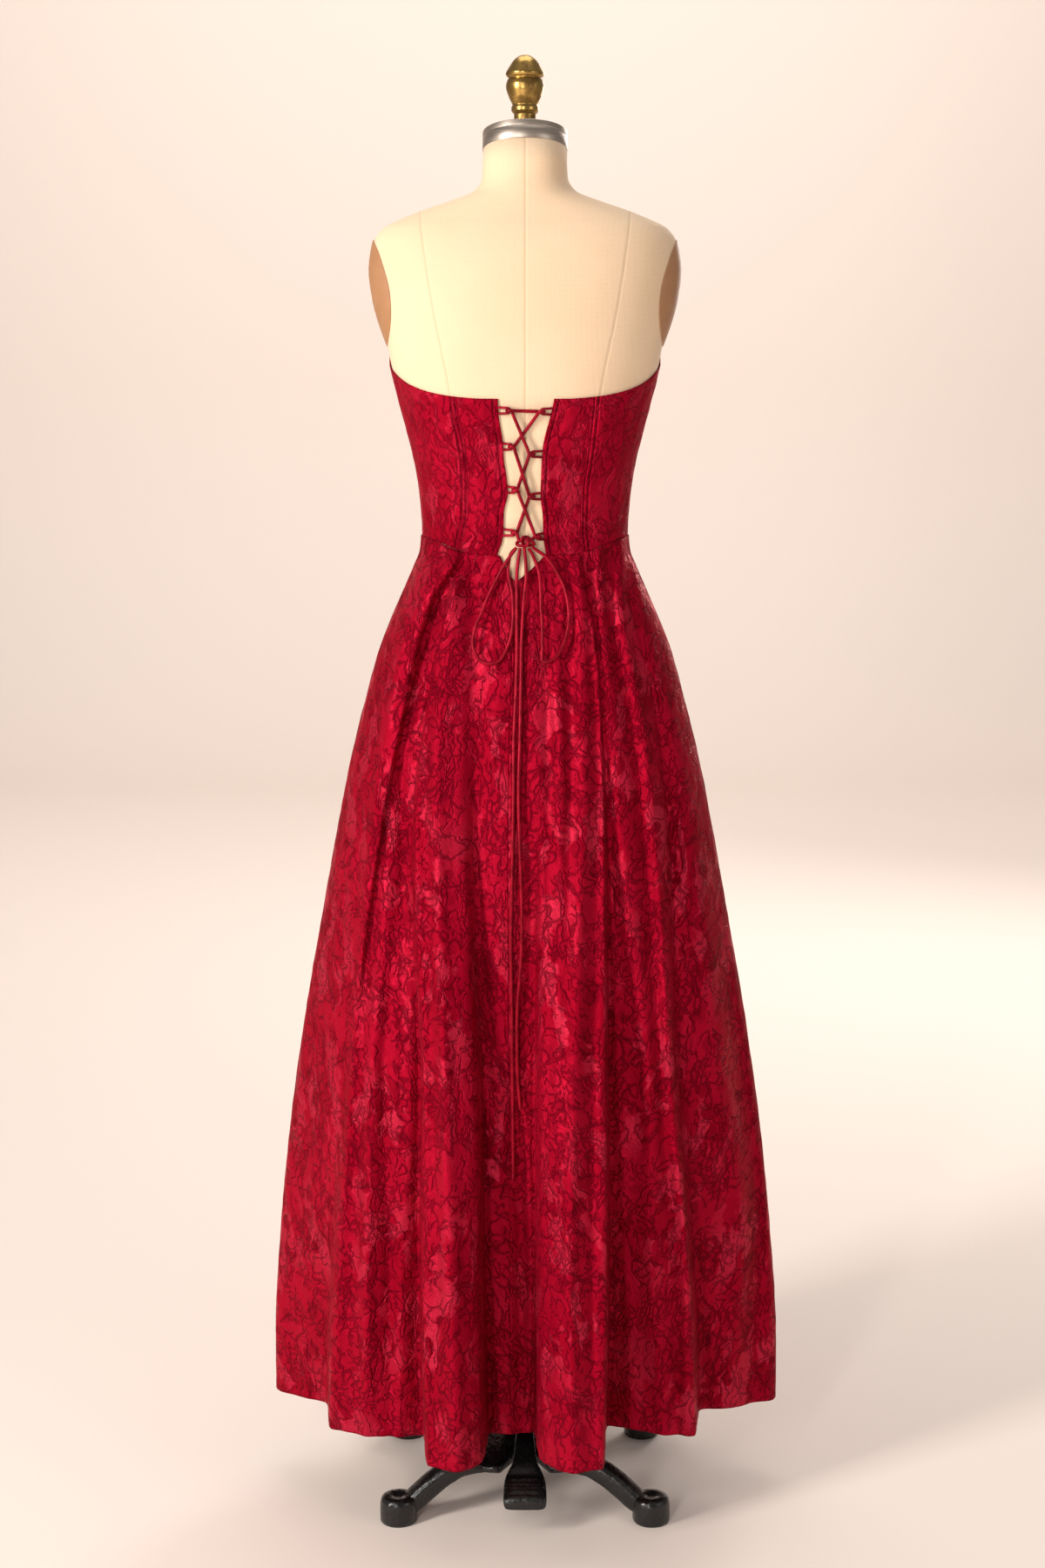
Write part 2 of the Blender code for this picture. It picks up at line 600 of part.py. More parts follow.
# Lacing
def on_form(x, height, lift):
    """A point at x and height, lifted off the form's back."""
    return np.array([x, form_back_y(x, height) - lift, height])


def back_surface(back_grid):
    """Returns a function giving the rearmost cloth's y at x and height, bodice above and skirt below."""
    def at(x, height):
        if height > WAIST_BACK:
            return float(form_back_y(x, height, FORM_AIR + CLOTH))
        near = []
        heights = back_grid[:, :, 2]
        for c in range(back_grid.shape[1]):
            z = heights[::-1, c]
            if height <= z[-1] + 0.04:
                near.append((np.interp(height, z, back_grid[::-1, c, 0]),
                             np.interp(height, z, back_grid[::-1, c, 1])))
        near = np.array(near)
        best = 0.0
        for (x0, y0), (x1, y1) in zip(near[:-1], near[1:]):
            low, high = min(x0, x1), max(x0, x1)
            if low - 1e-9 <= x <= high + 1e-9 and high > low:
                best = min(best, y0 + (y1 - y0) * (x - x0) / (x1 - x0))
        form = float(form_back_y(x, height)) - FORM_AIR
        return min(best, form)
    return at


def build_loops(cord, group):
    for name, (height, tip) in LOOPS.items():
        table = OPENING_LEFT if name.startswith("left") else OPENING_RIGHT
        sign = 1.0 if name.startswith("left") else -1.0
        half = LOOP_EYE / 2
        shape = [(0.0, half, 0.0016), (0.40, half, 0.0045), (1.0 - 0.0026 / 0.012, half, LOOP_LIFT),
                 (1.0 - 0.0008 / 0.012, half * 0.66, LOOP_LIFT), (1.0, 0.0, LOOP_LIFT)]
        shape += [(share, -up, lift) for share, up, lift in shape[-2::-1]]
        points = []
        for share, up, lift in shape:
            rims = [sign * float(curve_value(table, 1, height + up + d)) for d in (-0.0016, 0.0, 0.0016)]
            start = sign * max(rims) + sign * 0.0009
            points.append(on_form(start + (tip - start) * share, height + up, lift))
        cord_object(f"loop_{name}", points, LOOP_RADIUS, cord, group)


def lace_wrap(name, tip_sign):
    """The lace's turn through a loop: over its tip, down the eye, back under the tip."""
    height, tip = LOOPS[name]
    around = LOOP_RADIUS + LACE_RADIUS + 0.0004
    inside = -tip_sign * around
    return [on_form(tip + tip_sign * 0.0012, height, LOOP_LIFT + around),
            on_form(tip + inside * 0.72, height, LOOP_LIFT + around * 0.72),
            on_form(tip + inside, height, LOOP_LIFT),
            on_form(tip + inside * 0.72, height, LOOP_LIFT - around * 0.72),
            on_form(tip + tip_sign * 0.0012, height, LOOP_LIFT - around)]


def build_lace(cord, group, behind):
    order = (("left_4", 1), ("right_3", -1), ("left_2", 1), ("right_1", -1), ("left_1", 1),
             ("right_2", -1), ("left_3", 1), ("right_4", -1))
    crossing_lift = {("left_4", "right_3"): 0.0031, ("right_3", "left_2"): 0.0072,
                     ("left_2", "right_1"): 0.0031, ("right_1", "left_1"): 0.0060,
                     ("left_1", "right_2"): 0.0072, ("right_2", "left_3"): 0.0031,
                     ("left_3", "right_4"): 0.0072}
    points = [on_form(-0.0140, 1.2085, 0.0108)]
    for k, (name, sign) in enumerate(order):
        turn = lace_wrap(name, sign)
        if k:
            a = points[-1]
            b = turn[0]
            lift = crossing_lift[(order[k - 1][0], name)]
            lift_a = form_back_y(a[0], a[2]) - a[1]
            lift_b = form_back_y(b[0], b[2]) - b[1]
            for share, weight in ((0.15, 0.6), (0.35, 1.0), (0.5, 1.0), (0.65, 1.0), (0.85, 0.6)):
                middle = a + (b - a) * share
                straight = lift_a + (lift_b - lift_a) * share
                points.append(on_form(middle[0], middle[2], straight + (lift - straight) * weight))
        points += turn
    points.append(on_form(0.0092, 1.2072, 0.0032))
    points.append(on_form(0.0062, 1.2040, 0.0030))
    cord_object("lace", points, LACE_RADIUS, cord, group)

    x, height = KNOT_CENTRE
    knot_y = float(form_back_y(x, height)) - KNOT_LIFT
    rings = []
    for tilt in np.linspace(-75, 75, 7):
        turn = np.arange(14) * 2 * math.pi / 14
        wide = math.cos(math.radians(tilt))
        rise = KNOT_RADII[2] * math.sin(math.radians(tilt))
        rings.append(np.stack([x + KNOT_RADII[0] * wide * np.cos(turn),
                               knot_y + KNOT_RADII[1] * wide * np.sin(turn),
                               np.full(14, height + rise)], axis=1))
    lofted_object("lace_knot", rings, cord, group)

    free = (("bow_left", BOW_LEFT, 30), ("bow_right", BOW_RIGHT, 30),
            ("tail_left", TAIL_LEFT, 52), ("tail_right", TAIL_RIGHT, 46))
    for name, route, count in free:
        flat = smooth_path(route, count)
        places = []
        limit = []
        hang = 0.0
        for number, (px, pz) in enumerate(flat):
            rest = min(behind(px + dx, pz) for dx in (-0.004, 0.0, 0.004)) - LACE_RADIUS - 0.0012
            if name.startswith("tail"):
                hang = min(hang, rest)
                rest = hang if pz < 1.0 else rest
            start = knot_y
            blend = min(1.0, number / 4)
            if name.startswith("bow"):
                blend = min(1.0, number / 4, (count - 1 - number) / 4)
                if name == "bow_left":
                    rest -= 0.0044 * max(0.0, 1 - number / 6)
                    start = knot_y + (0.0026 if number > 9 else -0.0020)
            places.append([px, start + (rest - start) * blend, pz])
            limit.append(rest + 0.0004 if blend == 1.0 else 0.0)
        places = np.array(places)
        kernel = np.array([1, 2, 3, 2, 1]) / 9
        for _ in range(2):
            padded = np.pad(places[:, 1], 2, mode="edge")
            places[2:-2, 1] = np.convolve(padded, kernel, mode="valid")[2:-2]
            places[:, 1] = np.minimum(places[:, 1], limit)
        cord_object(name, places, LACE_RADIUS, cord, group)


# Stand. A leg's rows: share of its length, height of the middle, tallness, width
LEG_ROWS = (
    (0.00, 0.0585, 0.0120, 0.030), (0.20, 0.0610, 0.0180, 0.029), (0.42, 0.0560, 0.0230, 0.027),
    (0.62, 0.0420, 0.0240, 0.026), (0.80, 0.0255, 0.0230, 0.026), (0.93, 0.0165, 0.0220, 0.027),
)
LEG_OUTLINE = (
    (-1, -0.7), (-0.7, -1), (0.7, -1), (1, -0.7), (1, 0.7), (0.7, 1), (-0.7, 1), (-1, 0.7),
)
# Pedal seen from the side: y, height, half width, over the top and back underneath
PEDAL_OUTLINE = (
    (-0.0304, 0.0745, 0.0110), (-0.0304, 0.0855, 0.0110), (-0.0700, 0.0840, 0.0120),
    (-0.1180, 0.0660, 0.0160), (-0.1240, 0.0560, 0.0245), (-0.1705, 0.0525, 0.0265),
    (-0.1725, 0.0370, 0.0265), (-0.1690, 0.0345, 0.0260), (-0.1655, 0.0410, 0.0260),
    (-0.1240, 0.0440, 0.0245), (-0.1130, 0.0530, 0.0160), (-0.0700, 0.0735, 0.0120),
)


def build_stand(iron, steel, group, cutters):
    tube_object("stand_column",
                [(0.0300, 0.0640), (0.0300, 0.0900), (0.0290, 0.1000), (0.0275, 0.1500),
                 (COLUMN_RADIUS, 0.2300), (COLUMN_RADIUS - 0.003, 0.2340)],
                [(POST_RADIUS + SEAM, 0.0640), (POST_RADIUS + SEAM, 0.2340)], 24, iron, group)
    post = [(POST_RADIUS, 0.0660), (POST_RADIUS, FORM_BOTTOM - SEAM)]
    turned_object("post", post, 20, steel, group)

    half_x = 0.072
    half_y = 0.112
    plate = []
    corner = 0.018
    corners = ((half_x, half_y, 0), (-half_x, half_y, 90), (-half_x, -half_y, 180),
               (half_x, -half_y, 270))
    for cx, cy, start in corners:
        for turn in (0, 30, 60, 90):
            a = math.radians(start + turn)
            plate.append((cx - math.copysign(corner, cx) + corner * math.cos(a),
                          cy - math.copysign(corner, cy) + corner * math.sin(a)))
    plate = np.array(plate)
    rings = [np.column_stack([plate, np.full(len(plate), z)]) for z in (0.0540, 0.0637)]
    casting = lofted_object("stand_casting", rings, iron, group)
    places = [(x, y, z) for x in (-0.0195, 0.0195) for y in (-0.130, -0.050) for z in (0.040, 0.080)]
    faces = [(0, 1, 3, 2), (4, 6, 7, 5), (0, 4, 5, 1), (2, 3, 7, 6), (0, 2, 6, 4), (1, 5, 7, 3)]
    notch = mesh_object("notch_cutter", places, faces, iron, cutters, smooth=False)
    notch.display_type = "WIRE"
    cut = casting.modifiers.new("notch", "BOOLEAN")
    cut.operation = "DIFFERENCE"
    cut.solver = "EXACT"
    cut.object = notch
    for sx in (-1, 1):
        for sy in (-1, 1):
            start = np.array([sx * 0.050, sy * 0.092])
            end = np.array([sx * FOOT_X, sy * FOOT_Y])
            along = (end - start) / np.linalg.norm(end - start)
            across = np.array([-along[1], along[0]])
            rings = []
            for share, mid, tall, wide in LEG_ROWS:
                centre = start + (end - start) * share
                slope = (share - 0.3) * 0.9
                ring = []
                for u, v in LEG_OUTLINE:
                    lean = v * tall / 2 * max(0.0, slope) * 0.8
                    flat = centre + across * u * wide / 2 + along * lean
                    ring.append((flat[0], flat[1], max(0.0004, mid + v * tall / 2)))
                rings.append(ring)
            leg = lofted_object("leg_cutter", rings, iron, cutters)
            profile = [(FOOT_RADIUS - 0.001, 0), (FOOT_RADIUS, 0.001),
                       (FOOT_RADIUS - 0.0005, FOOT_HEIGHT - 0.003), (FOOT_RADIUS - 0.003, FOOT_HEIGHT),
                       (0.0120, FOOT_HEIGHT - 0.0005), (0.0040, FOOT_HEIGHT - 0.0025)]
            foot = turned_object("foot_cutter", profile, 18, iron, cutters, (end[0], end[1], 0))
            for piece in (leg, foot):
                join = casting.modifiers.new(piece.name, "BOOLEAN")
                join.operation = "UNION"
                join.solver = "EXACT"
                join.object = piece
                piece.display_type = "WIRE"

    # Pedal: a stem from the column and a ribbed tread
    left = [(-w, y, z) for y, z, w in PEDAL_OUTLINE]
    right = [(w, y, z) for y, z, w in PEDAL_OUTLINE]
    count = len(PEDAL_OUTLINE)
    faces = [(k, (k + 1) % count, (k + 1) % count + count, k + count) for k in range(count)]
    bands = ((0, 1, 2, 11), (2, 3, 10, 11), (3, 4, 9, 10), (4, 5, 8, 9), (5, 6, 7, 8))
    for a, b, c, d in bands:
        faces.append((d, c, b, a))
        faces.append((a + count, b + count, c + count, d + count))
    pedal = mesh_object("pedal", left + right, faces, iron, group, smooth=False)
    for k in range(4):
        y = -0.1330 - 0.0105 * k
        z = 0.0553 - 0.0008 * k
        bar = ((-0.0022, -0.0035), (0.0022, -0.0035), (0.0012, 0.0016), (-0.0012, 0.0016))
        places = [(x, y + dy, z + dz) for x in (-0.020, 0.020) for dy, dz in bar]
        faces = [(0, 1, 2, 3), (7, 6, 5, 4), (0, 4, 5, 1), (1, 5, 6, 2), (2, 6, 7, 3), (3, 7, 4, 0)]
        rib = mesh_object("rib_cutter", places, faces, iron, cutters, smooth=False)
        rib.display_type = "WIRE"
        join = pedal.modifiers.new(f"rib_{k}", "BOOLEAN")
        join.operation = "UNION"
        join.solver = "EXACT"
        join.object = rib


def face_outwards():
    """Turns any mesh whose faces came out inside out."""
    for obj in bpy.data.objects:
        if obj.type != "MESH":
            continue
        data = obj.data
        points = np.array([v.co for v in data.vertices])
        total = 0.0
        for polygon in data.polygons:
            ids = list(polygon.vertices)
            for k in range(1, len(ids) - 1):
                total += np.dot(points[ids[0]], np.cross(points[ids[k]], points[ids[k + 1]]))
        if total < 0:
            data.flip_normals()


clear_scene()
dress_group = collection_named("corset_dress_on_form")
cutter_group = collection_named("cutters", hidden=True)
crimson = surface("crimson_jacquard", (0.40, 0.005, 0.020), 0.45)
crimson_cord = surface("crimson_satin_cord", (0.36, 0.006, 0.022), 0.40)
linen_cover = surface("cream_linen", (0.88, 0.76, 0.55), 0.85)
tan_plate = surface("tan_cover", (0.75, 0.47, 0.28), 0.60)
steel_metal = surface("brushed_steel", (0.62, 0.60, 0.58), 0.30, 1.0)
brass_metal = surface("antique_brass", (0.42, 0.29, 0.11), 0.38, 1.0)
black_iron = surface("black_enamelled_iron", (0.012, 0.012, 0.012), 0.20)
build_form(linen_cover, tan_plate, steel_metal, brass_metal, dress_group)
build_bodice(crimson, dress_group)
back_panels = build_skirt(crimson, dress_group)
build_loops(crimson_cord, dress_group)
build_lace(crimson_cord, dress_group, back_surface(back_panels))
build_stand(black_iron, steel_metal, dress_group, cutter_group)
face_outwards()
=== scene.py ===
"""Strapless corset dress on a limbless dress form with a cast iron stand, dressed for the camera.

Metres, Z up. The laced back faces -Y and the wearer's right is +X. Angles go round the body from
the centre back, plus towards +X.
"""
import functools
import math

import bmesh
import bpy
import numpy as np
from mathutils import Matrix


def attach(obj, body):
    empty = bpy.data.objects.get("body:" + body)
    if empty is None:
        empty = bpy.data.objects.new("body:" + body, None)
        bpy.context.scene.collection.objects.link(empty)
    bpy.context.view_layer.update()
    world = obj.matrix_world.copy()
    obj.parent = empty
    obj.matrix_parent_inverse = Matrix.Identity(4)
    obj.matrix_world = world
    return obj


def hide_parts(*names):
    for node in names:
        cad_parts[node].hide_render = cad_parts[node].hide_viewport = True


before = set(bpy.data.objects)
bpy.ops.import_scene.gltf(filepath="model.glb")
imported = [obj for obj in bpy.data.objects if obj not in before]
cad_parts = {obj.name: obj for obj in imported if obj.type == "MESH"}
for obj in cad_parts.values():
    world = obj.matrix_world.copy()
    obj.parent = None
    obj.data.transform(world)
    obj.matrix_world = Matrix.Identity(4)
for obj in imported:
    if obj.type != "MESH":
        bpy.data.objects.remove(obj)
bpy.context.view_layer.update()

# Camera. A 55 mm lens stands behind the dress at eye height and looks a little down, so that the
# dress fills the upright frame from the brass knob to the iron feet.


def add_object(name, data):
    """New object in the scene."""
    made = bpy.data.objects.new(name, data)
    bpy.context.scene.collection.objects.link(made)
    return made


lens = bpy.data.cameras.new("back_view")
lens.lens = 55.0
lens.sensor_width = 36.0
lens.clip_start = 0.05
camera = add_object("back_view", lens)
camera.location = (-0.003, -2.900, 1.382)
camera.rotation_euler = (math.radians(80.6), 0.0, 0.0)
bpy.context.scene.camera = camera


# Dress form. A firm moulded torso covered in cream linen, closed under the hip and cut on a slope
# at the neck. The cover is sewn from panels, with fine seams at the centres and the princess lines.
# Height, half width, depth behind the axis and depth in front of it, in tenths of a millimetre
FORM_ROWS = np.array([
    (9000, 1500, 920, 800), (9500, 1600, 1080, 900), (10000, 1630, 1120, 930),
    (10500, 1580, 1060, 930), (11000, 1470, 950, 900), (11500, 1340, 850, 850),
    (11900, 1236, 785, 810), (12110, 1216, 780, 815), (12500, 1240, 800, 880),
    (12940, 1306, 850, 1020), (13350, 1406, 910, 1170), (13770, 1516, 970, 1210),
    (14080, 1590, 1000, 1170), (14400, 1650, 1015, 1080), (14890, 1740, 990, 920),
    (15290, 1790, 920, 780), (15500, 1790, 850, 710), (15660, 1690, 770, 650),
    (15770, 1480, 700, 610), (15880, 1200, 640, 580), (15980, 900, 590, 550),
    (16100, 600, 545, 520), (16250, 505, 505, 505), (16400, 495, 495, 495),
]) / 10000
SQUARENESS = 2.3
NECK_TILT = math.radians(13)
NECK_TOP = 1.6550


def through(x, y, at):
    """Smooth line through points, without overshoot: cubic pieces whose slopes are the harmonic
    means of the slopes on either side. y is one column, or a table with a column for each value."""
    x = np.asarray(x, float)
    y = np.asarray(y, float)
    step = np.diff(x)
    slope = np.diff(y, axis=0) / (step if y.ndim == 1 else step[:, None])
    before, after = slope[:-1], slope[1:]
    same = before * after > 0
    mean = np.where(same, 2 * before * after / np.where(same, before + after, 1.0), 0.0)
    tangent = np.concatenate([slope[:1], mean, slope[-1:]])
    at = np.clip(at, x[0], x[-1])
    k = np.clip(np.searchsorted(x, at, side="right") - 1, 0, len(step) - 1)
    t = (at - x[k]) / step[k]
    here = k if y.ndim == 1 else (k, np.arange(y.shape[1]))
    there = k + 1 if y.ndim == 1 else (k + 1, np.arange(y.shape[1]))
    rise = y[here] * (1 + 2 * t) * (1 - t) ** 2 + y[there] * t * t * (3 - 2 * t)
    return rise + step[k] * (tangent[here] * t * (1 - t) ** 2 - tangent[there] * t * t * (1 - t))


def measures(table, at):
    """The table's other columns, each read off smoothly at a value of the first."""
    return [through(table[:, 0], column, at) for column in table.T[1:]]


def swell(value, power):
    """The value raised to a power, keeping its sign."""
    return np.sign(value) * np.abs(value) ** power


def full_turn(steps):
    """Equal steps round a full turn, in radians."""
    return np.arange(steps) * 2 * math.pi / steps


def oval(angle, half_width, back, front):
    """Squarish oval: x is the half width times the sine, y the depth times the cosine, both raised
    to two over the squareness and keeping their signs."""
    depth = np.where(np.cos(angle) > 0, back, front)
    return (half_width * swell(np.sin(angle), 2 / SQUARENESS),
            -depth * swell(np.cos(angle), 2 / SQUARENESS))


def on_body(angle, height, out=0.0):
    """Points on the form's oval at each angle and height, all its half sizes made larger by out."""
    x, y = oval(angle, *(size + out for size in measures(FORM_ROWS, height)))
    return np.stack([x, y, height + 0 * x], axis=-1)


def grid_mesh(name, places, material, ring=False):
    """Smooth mesh over a grid of points, rows running down and columns round to the right as seen
    from outside; ring joins the last column to the first. Returns the mesh and its faces."""
    rows, columns = places.shape[:2]
    number = np.arange(rows * columns).reshape(rows, columns)
    if ring:
        number = np.concatenate([number, number[:, :1]], axis=1)
    faces = np.stack([number[:-1, :-1], number[1:, :-1], number[1:, 1:], number[:-1, 1:]], axis=-1)
    faces = faces.reshape(-1, 4).astype(np.int32)
    mesh = bpy.data.meshes.new(name)
    mesh.vertices.add(rows * columns)
    mesh.vertices.foreach_set("co", places.astype(np.float32).ravel())
    mesh.loops.add(faces.size)
    mesh.loops.foreach_set("vertex_index", faces.ravel())
    mesh.polygons.add(len(faces))
    mesh.polygons.foreach_set("loop_start", np.arange(0, faces.size, 4, dtype=np.int32))
    mesh.polygons.foreach_set("use_smooth", np.ones(len(faces), bool))
    mesh.update(calc_edges=True)
    mesh.materials.append(material)
    return mesh, faces


def add_piece(name, data, body, stands_for=None):
    """Piece that rides on a body and may stand for one of the solids."""
    piece = add_object(name, data)
    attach(piece, body)
    if stands_for:
        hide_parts(stands_for)
    return piece


def ring_piece(name, places, material, stands_for=None, marks=(), body="form"):
    """Closed piece over a ring-shaped grid, with the points that fall together made one. marks are
    named point values."""
    mesh, _ = grid_mesh(name, places, material, ring=True)
    put_marks(mesh, marks)
    work = bmesh.new()
    work.from_mesh(mesh)
    bmesh.ops.remove_doubles(work, verts=work.verts, dist=1e-6)
    work.to_mesh(mesh)
    work.free()
    return add_piece(name, mesh, body, stands_for)


def put_marks(mesh, marks):
    """Named point values on a mesh."""
    for mark, values in dict(marks).items():
        layer = mesh.attributes.new(mark, "FLOAT", "POINT")
        layer.data.foreach_set("value", values.astype(np.float32).ravel())


def node(tree, kind, sockets=(), **settings):
    """Adds a shader node. Each socket gets a value, or a link where an output is given."""
    made = tree.nodes.new("ShaderNode" + kind)
    for setting, value in settings.items():
        setattr(made, setting, value)
    for socket, value in dict(sockets).items():
        if isinstance(value, bpy.types.NodeSocket):
            tree.links.new(value, made.inputs[socket])
        else:
            made.inputs[socket].default_value = value
    return made


def tree_of(*values):
    """The node tree of the first output among the values."""
    return next(value.id_data for value in values if isinstance(value, bpy.types.NodeSocket))


def maths(operation, *values):
    """Result of a maths node on the given values or outputs."""
    return node(tree_of(*values), "Math", enumerate(values), operation=operation).outputs[0]


plus, minus, times, absolute = (functools.partial(maths, operation)
                                for operation in ("ADD", "SUBTRACT", "MULTIPLY", "ABSOLUTE"))


def vectors(operation, *values):
    """Result of a vector maths node on the given values or outputs."""
    made = node(tree_of(*values), "VectorMath", enumerate(values), operation=operation)
    return made.outputs["Value" if operation == "LENGTH" else "Vector"]


def parts(where):
    """The three parts of a vector."""
    return node(tree_of(where), "SeparateXYZ", {0: where}).outputs


def between(value, low, high, to_low=0.0, to_high=1.0):
    """Eases from one value to another as the input goes from low to high."""
    made = node(tree_of(value), "MapRange", {"Value": value, "From Min": low, "From Max": high,
                                             "To Min": to_low, "To Max": to_high},
                interpolation_type="SMOOTHSTEP")
    return made.outputs[0]


def tint(share, first, second):
    """Mixes two colours, each a tuple or an output, by a share from 0 to 1."""
    pair = {socket: (*value, 1.0) if isinstance(value, tuple) else value
            for socket, value in ((6, first), (7, second))}
    return node(tree_of(share), "Mix", {0: share, **pair}, data_type="RGBA").outputs[2]


def noise(where, scale, detail, rough=0.5, output="Fac", dimensions="3D"):
    """Cloudy noise, its colour or a value from 0 to 1."""
    made = node(tree_of(where), "TexNoise", {"Vector": where, "Scale": scale, "Detail": detail,
                                             "Roughness": rough}, noise_dimensions=dimensions)
    return made.outputs[output]


def finish(name, roughness, metallic=0.0, **sockets):
    """New material; returns it and its shader."""
    material = bpy.data.materials.new(name)
    material.use_nodes = True
    shader = material.node_tree.nodes["Principled BSDF"]
    shader.inputs["Roughness"].default_value = roughness
    shader.inputs["Metallic"].default_value = metallic
    for socket, value in sockets.items():
        shader.inputs[socket.replace("_", " ")].default_value = value
    return material, shader


def own_place(shader):
    """Output of each point's own coordinates."""
    return node(shader.id_data, "TexCoord").outputs["Object"]


def join(shader, colour, rough=None, bump=()):
    """Links the colour and the roughness to the shader, and puts a bump on its normal, given as
    height, strength and distance."""
    links = shader.id_data.links
    links.new(colour, shader.inputs["Base Color"])
    if rough is not None:
        links.new(rough, shader.inputs["Roughness"])
    if bump:
        made = node(shader.id_data, "Bump", dict(zip(("Height", "Strength", "Distance"), bump)))
        links.new(made.outputs["Normal"], shader.inputs["Normal"])


linen, shader = finish("cream_linen_cover", 0.82, Sheen_Weight=0.12, Sheen_Roughness=0.5)
spot = own_place(shader)
part = parts(spot)
weft, warp = (maths("SINE", times(part[way], 5200.0)) for way in (2, 0))
slub = noise(spot, 260.0, 3.0)
princess = absolute(node(shader.id_data, "Attribute", attribute_name="princess").outputs["Fac"])
seam_near = maths("MINIMUM", princess, absolute(part[0]))
seam_line = between(seam_near, 0.0004, 0.0012, 1.0, 0.0)
seam_soft = between(seam_near, 0.0006, 0.0028, 1.0, 0.0)
ground = tint(between(noise(spot, 9.0, 4.0), 0.35, 0.65),
              (0.810, 0.585, 0.378), (0.835, 0.612, 0.405))
ground = tint(times(slub, 0.16), ground, (0.78, 0.55, 0.34))
ground = tint(times(seam_line, 0.42), ground, (0.50, 0.36, 0.20))
weave = minus(plus(times(plus(weft, warp), 0.25), slub), times(seam_soft, 1.6))
join(shader, ground, bump=(weave, 0.55, 0.0004))

NECK_FOOT, HIP_END = 1.640, 0.903
turn = full_turn(168)
heights = np.concatenate([np.linspace(NECK_FOOT, 1.560, 44), np.linspace(1.558, HIP_END, 150)])
body_wall = on_body(turn[None, :], heights[:, None])
neck_ring = on_body(turn, np.full(len(turn), NECK_FOOT))
neck_rings = []
for share in (0.0, 0.5, 0.97, 1.0):
    ring = neck_ring * (share, share, 1.0)
    ring[:, 2] = NECK_TOP - ring[:, 1] * math.tan(NECK_TILT)
    neck_rings.append(ring)
low_ring = on_body(turn, np.full(len(turn), HIP_END))
low_rings = [low_ring * (share, share, 1.0) - (0.0, 0.0, drop)
             for share, drop in ((0.985, 0.0028), (0.6, 0.0030), (0.0, 0.0030))]
torso = np.concatenate([np.array(neck_rings), body_wall, np.array(low_rings)])
princess_at = through(np.array([0.90, 1.188, 1.377, 1.48, 1.577, 1.60]),
                      np.array([0.098, 0.066, 0.088, 0.108, 0.122, 0.124]), torso[..., 2])
ring_piece("form_linen_torso", torso, linen, "form_torso",
           marks={"princess": np.abs(torso[..., 0]) - princess_at})


# Arm plates. Two smooth tan caps, screwed over the armholes of the form, thin at the edge and
# crowned in the middle.
tan, shader = finish("tan_cover_plate", 0.50)
grain = noise(own_place(shader), 60.0, 5.0)
join(shader, tint(grain, (0.340, 0.160, 0.068), (0.420, 0.210, 0.098)), bump=(grain, 0.12, 0.0008))
PLATE_HEIGHT, PLATE_REACH, PLATE_ANGLE = 1.492, 0.062, math.radians(27)
around = full_turn(64)
share = np.array([1.0, 1.0, 0.985, 0.95, 0.88, 0.78, 0.64, 0.48, 0.32, 0.16, 0.0])[:, None]
for side, sign in (("left", -1), ("right", 1)):
    plate_angle = sign * (math.pi / 2 + share * np.cos(around) * PLATE_ANGLE)
    bulge = 0.0012 + 0.0070 * (1 - share ** 2) + 0 * plate_angle
    bulge[0] = 0.0
    plate = on_body(plate_angle, PLATE_HEIGHT + share * np.sin(around) * PLATE_REACH, bulge)
    ring_piece(f"armhole_plate_{side}", plate[:, ::sign], tan, f"arm_plate_{side}")


# Neck band and knob. A brushed steel band closes the sloping neck, and an aged brass acorn stands
# upright on it, with a plain stem, a collar, a ridge round its middle and a rounded tip.
BAND_RADIUS = 0.0500
BAND_HEIGHT = 0.0230


def turned(profile, steps, lean=0.0, foot=(0.0, 0.0, 0.0), foot_slope=0.0):
    """Turned body: (radius, height) pairs from the top down, each carried round the axis, the whole
    leaned towards +Y and set on foot. The lowest ring may follow a slope."""
    turn = full_turn(steps)
    profile = np.asarray(profile, float)
    radius, height = profile[:, :1], profile[:, 1:]
    x = radius * np.sin(turn)
    y = -radius * np.cos(turn)
    z = height + 0 * x
    places = np.stack([x, y * math.cos(lean) + z * math.sin(lean),
                       z * math.cos(lean) - y * math.sin(lean)], axis=-1)
    low = profile[:, 1] < 1e-9
    places[low, :, 2] -= places[low, :, 1] * math.tan(foot_slope)
    return places + np.asarray(foot)


steel, shader = finish("brushed_steel_band", 0.27, 1.0)
stretch = node(shader.id_data, "Mapping",
               {"Vector": own_place(shader), "Scale": (18.0, 18.0, 1500.0)})
brush = noise(stretch.outputs[0], 1.0, 4.0)
join(shader, tint(brush, (0.34, 0.285, 0.235), (0.58, 0.50, 0.43)),
     between(brush, 0.2, 0.8, 0.34, 0.50), (brush, 0.10, 0.0003))
edge = np.linspace(0, math.pi / 2, 5)
rim = [(BAND_RADIUS - 0.0012 + 0.0012 * math.sin(a), BAND_HEIGHT - 0.0012 + 0.0012 * math.cos(a))
       for a in edge]
profile = [(0.0, BAND_HEIGHT), (0.03, BAND_HEIGHT)] + rim
profile += [(BAND_RADIUS, 0.0170), (BAND_RADIUS, 0.0165), (BAND_RADIUS - 0.0004, 0.0162),
            (BAND_RADIUS - 0.0004, 0.0158), (BAND_RADIUS, 0.0155), (BAND_RADIUS, 0.0010),
            (BAND_RADIUS - 0.0010, 0.0), (0.0, 0.0)]
up = np.array([0.0, math.sin(NECK_TILT), math.cos(NECK_TILT)])
band_foot = np.array([0.0, 0.0, NECK_TOP]) + up * 0.0003
ring_piece("neck_band_steel", turned(profile, 96, NECK_TILT, band_foot), steel,
           "neck_band")

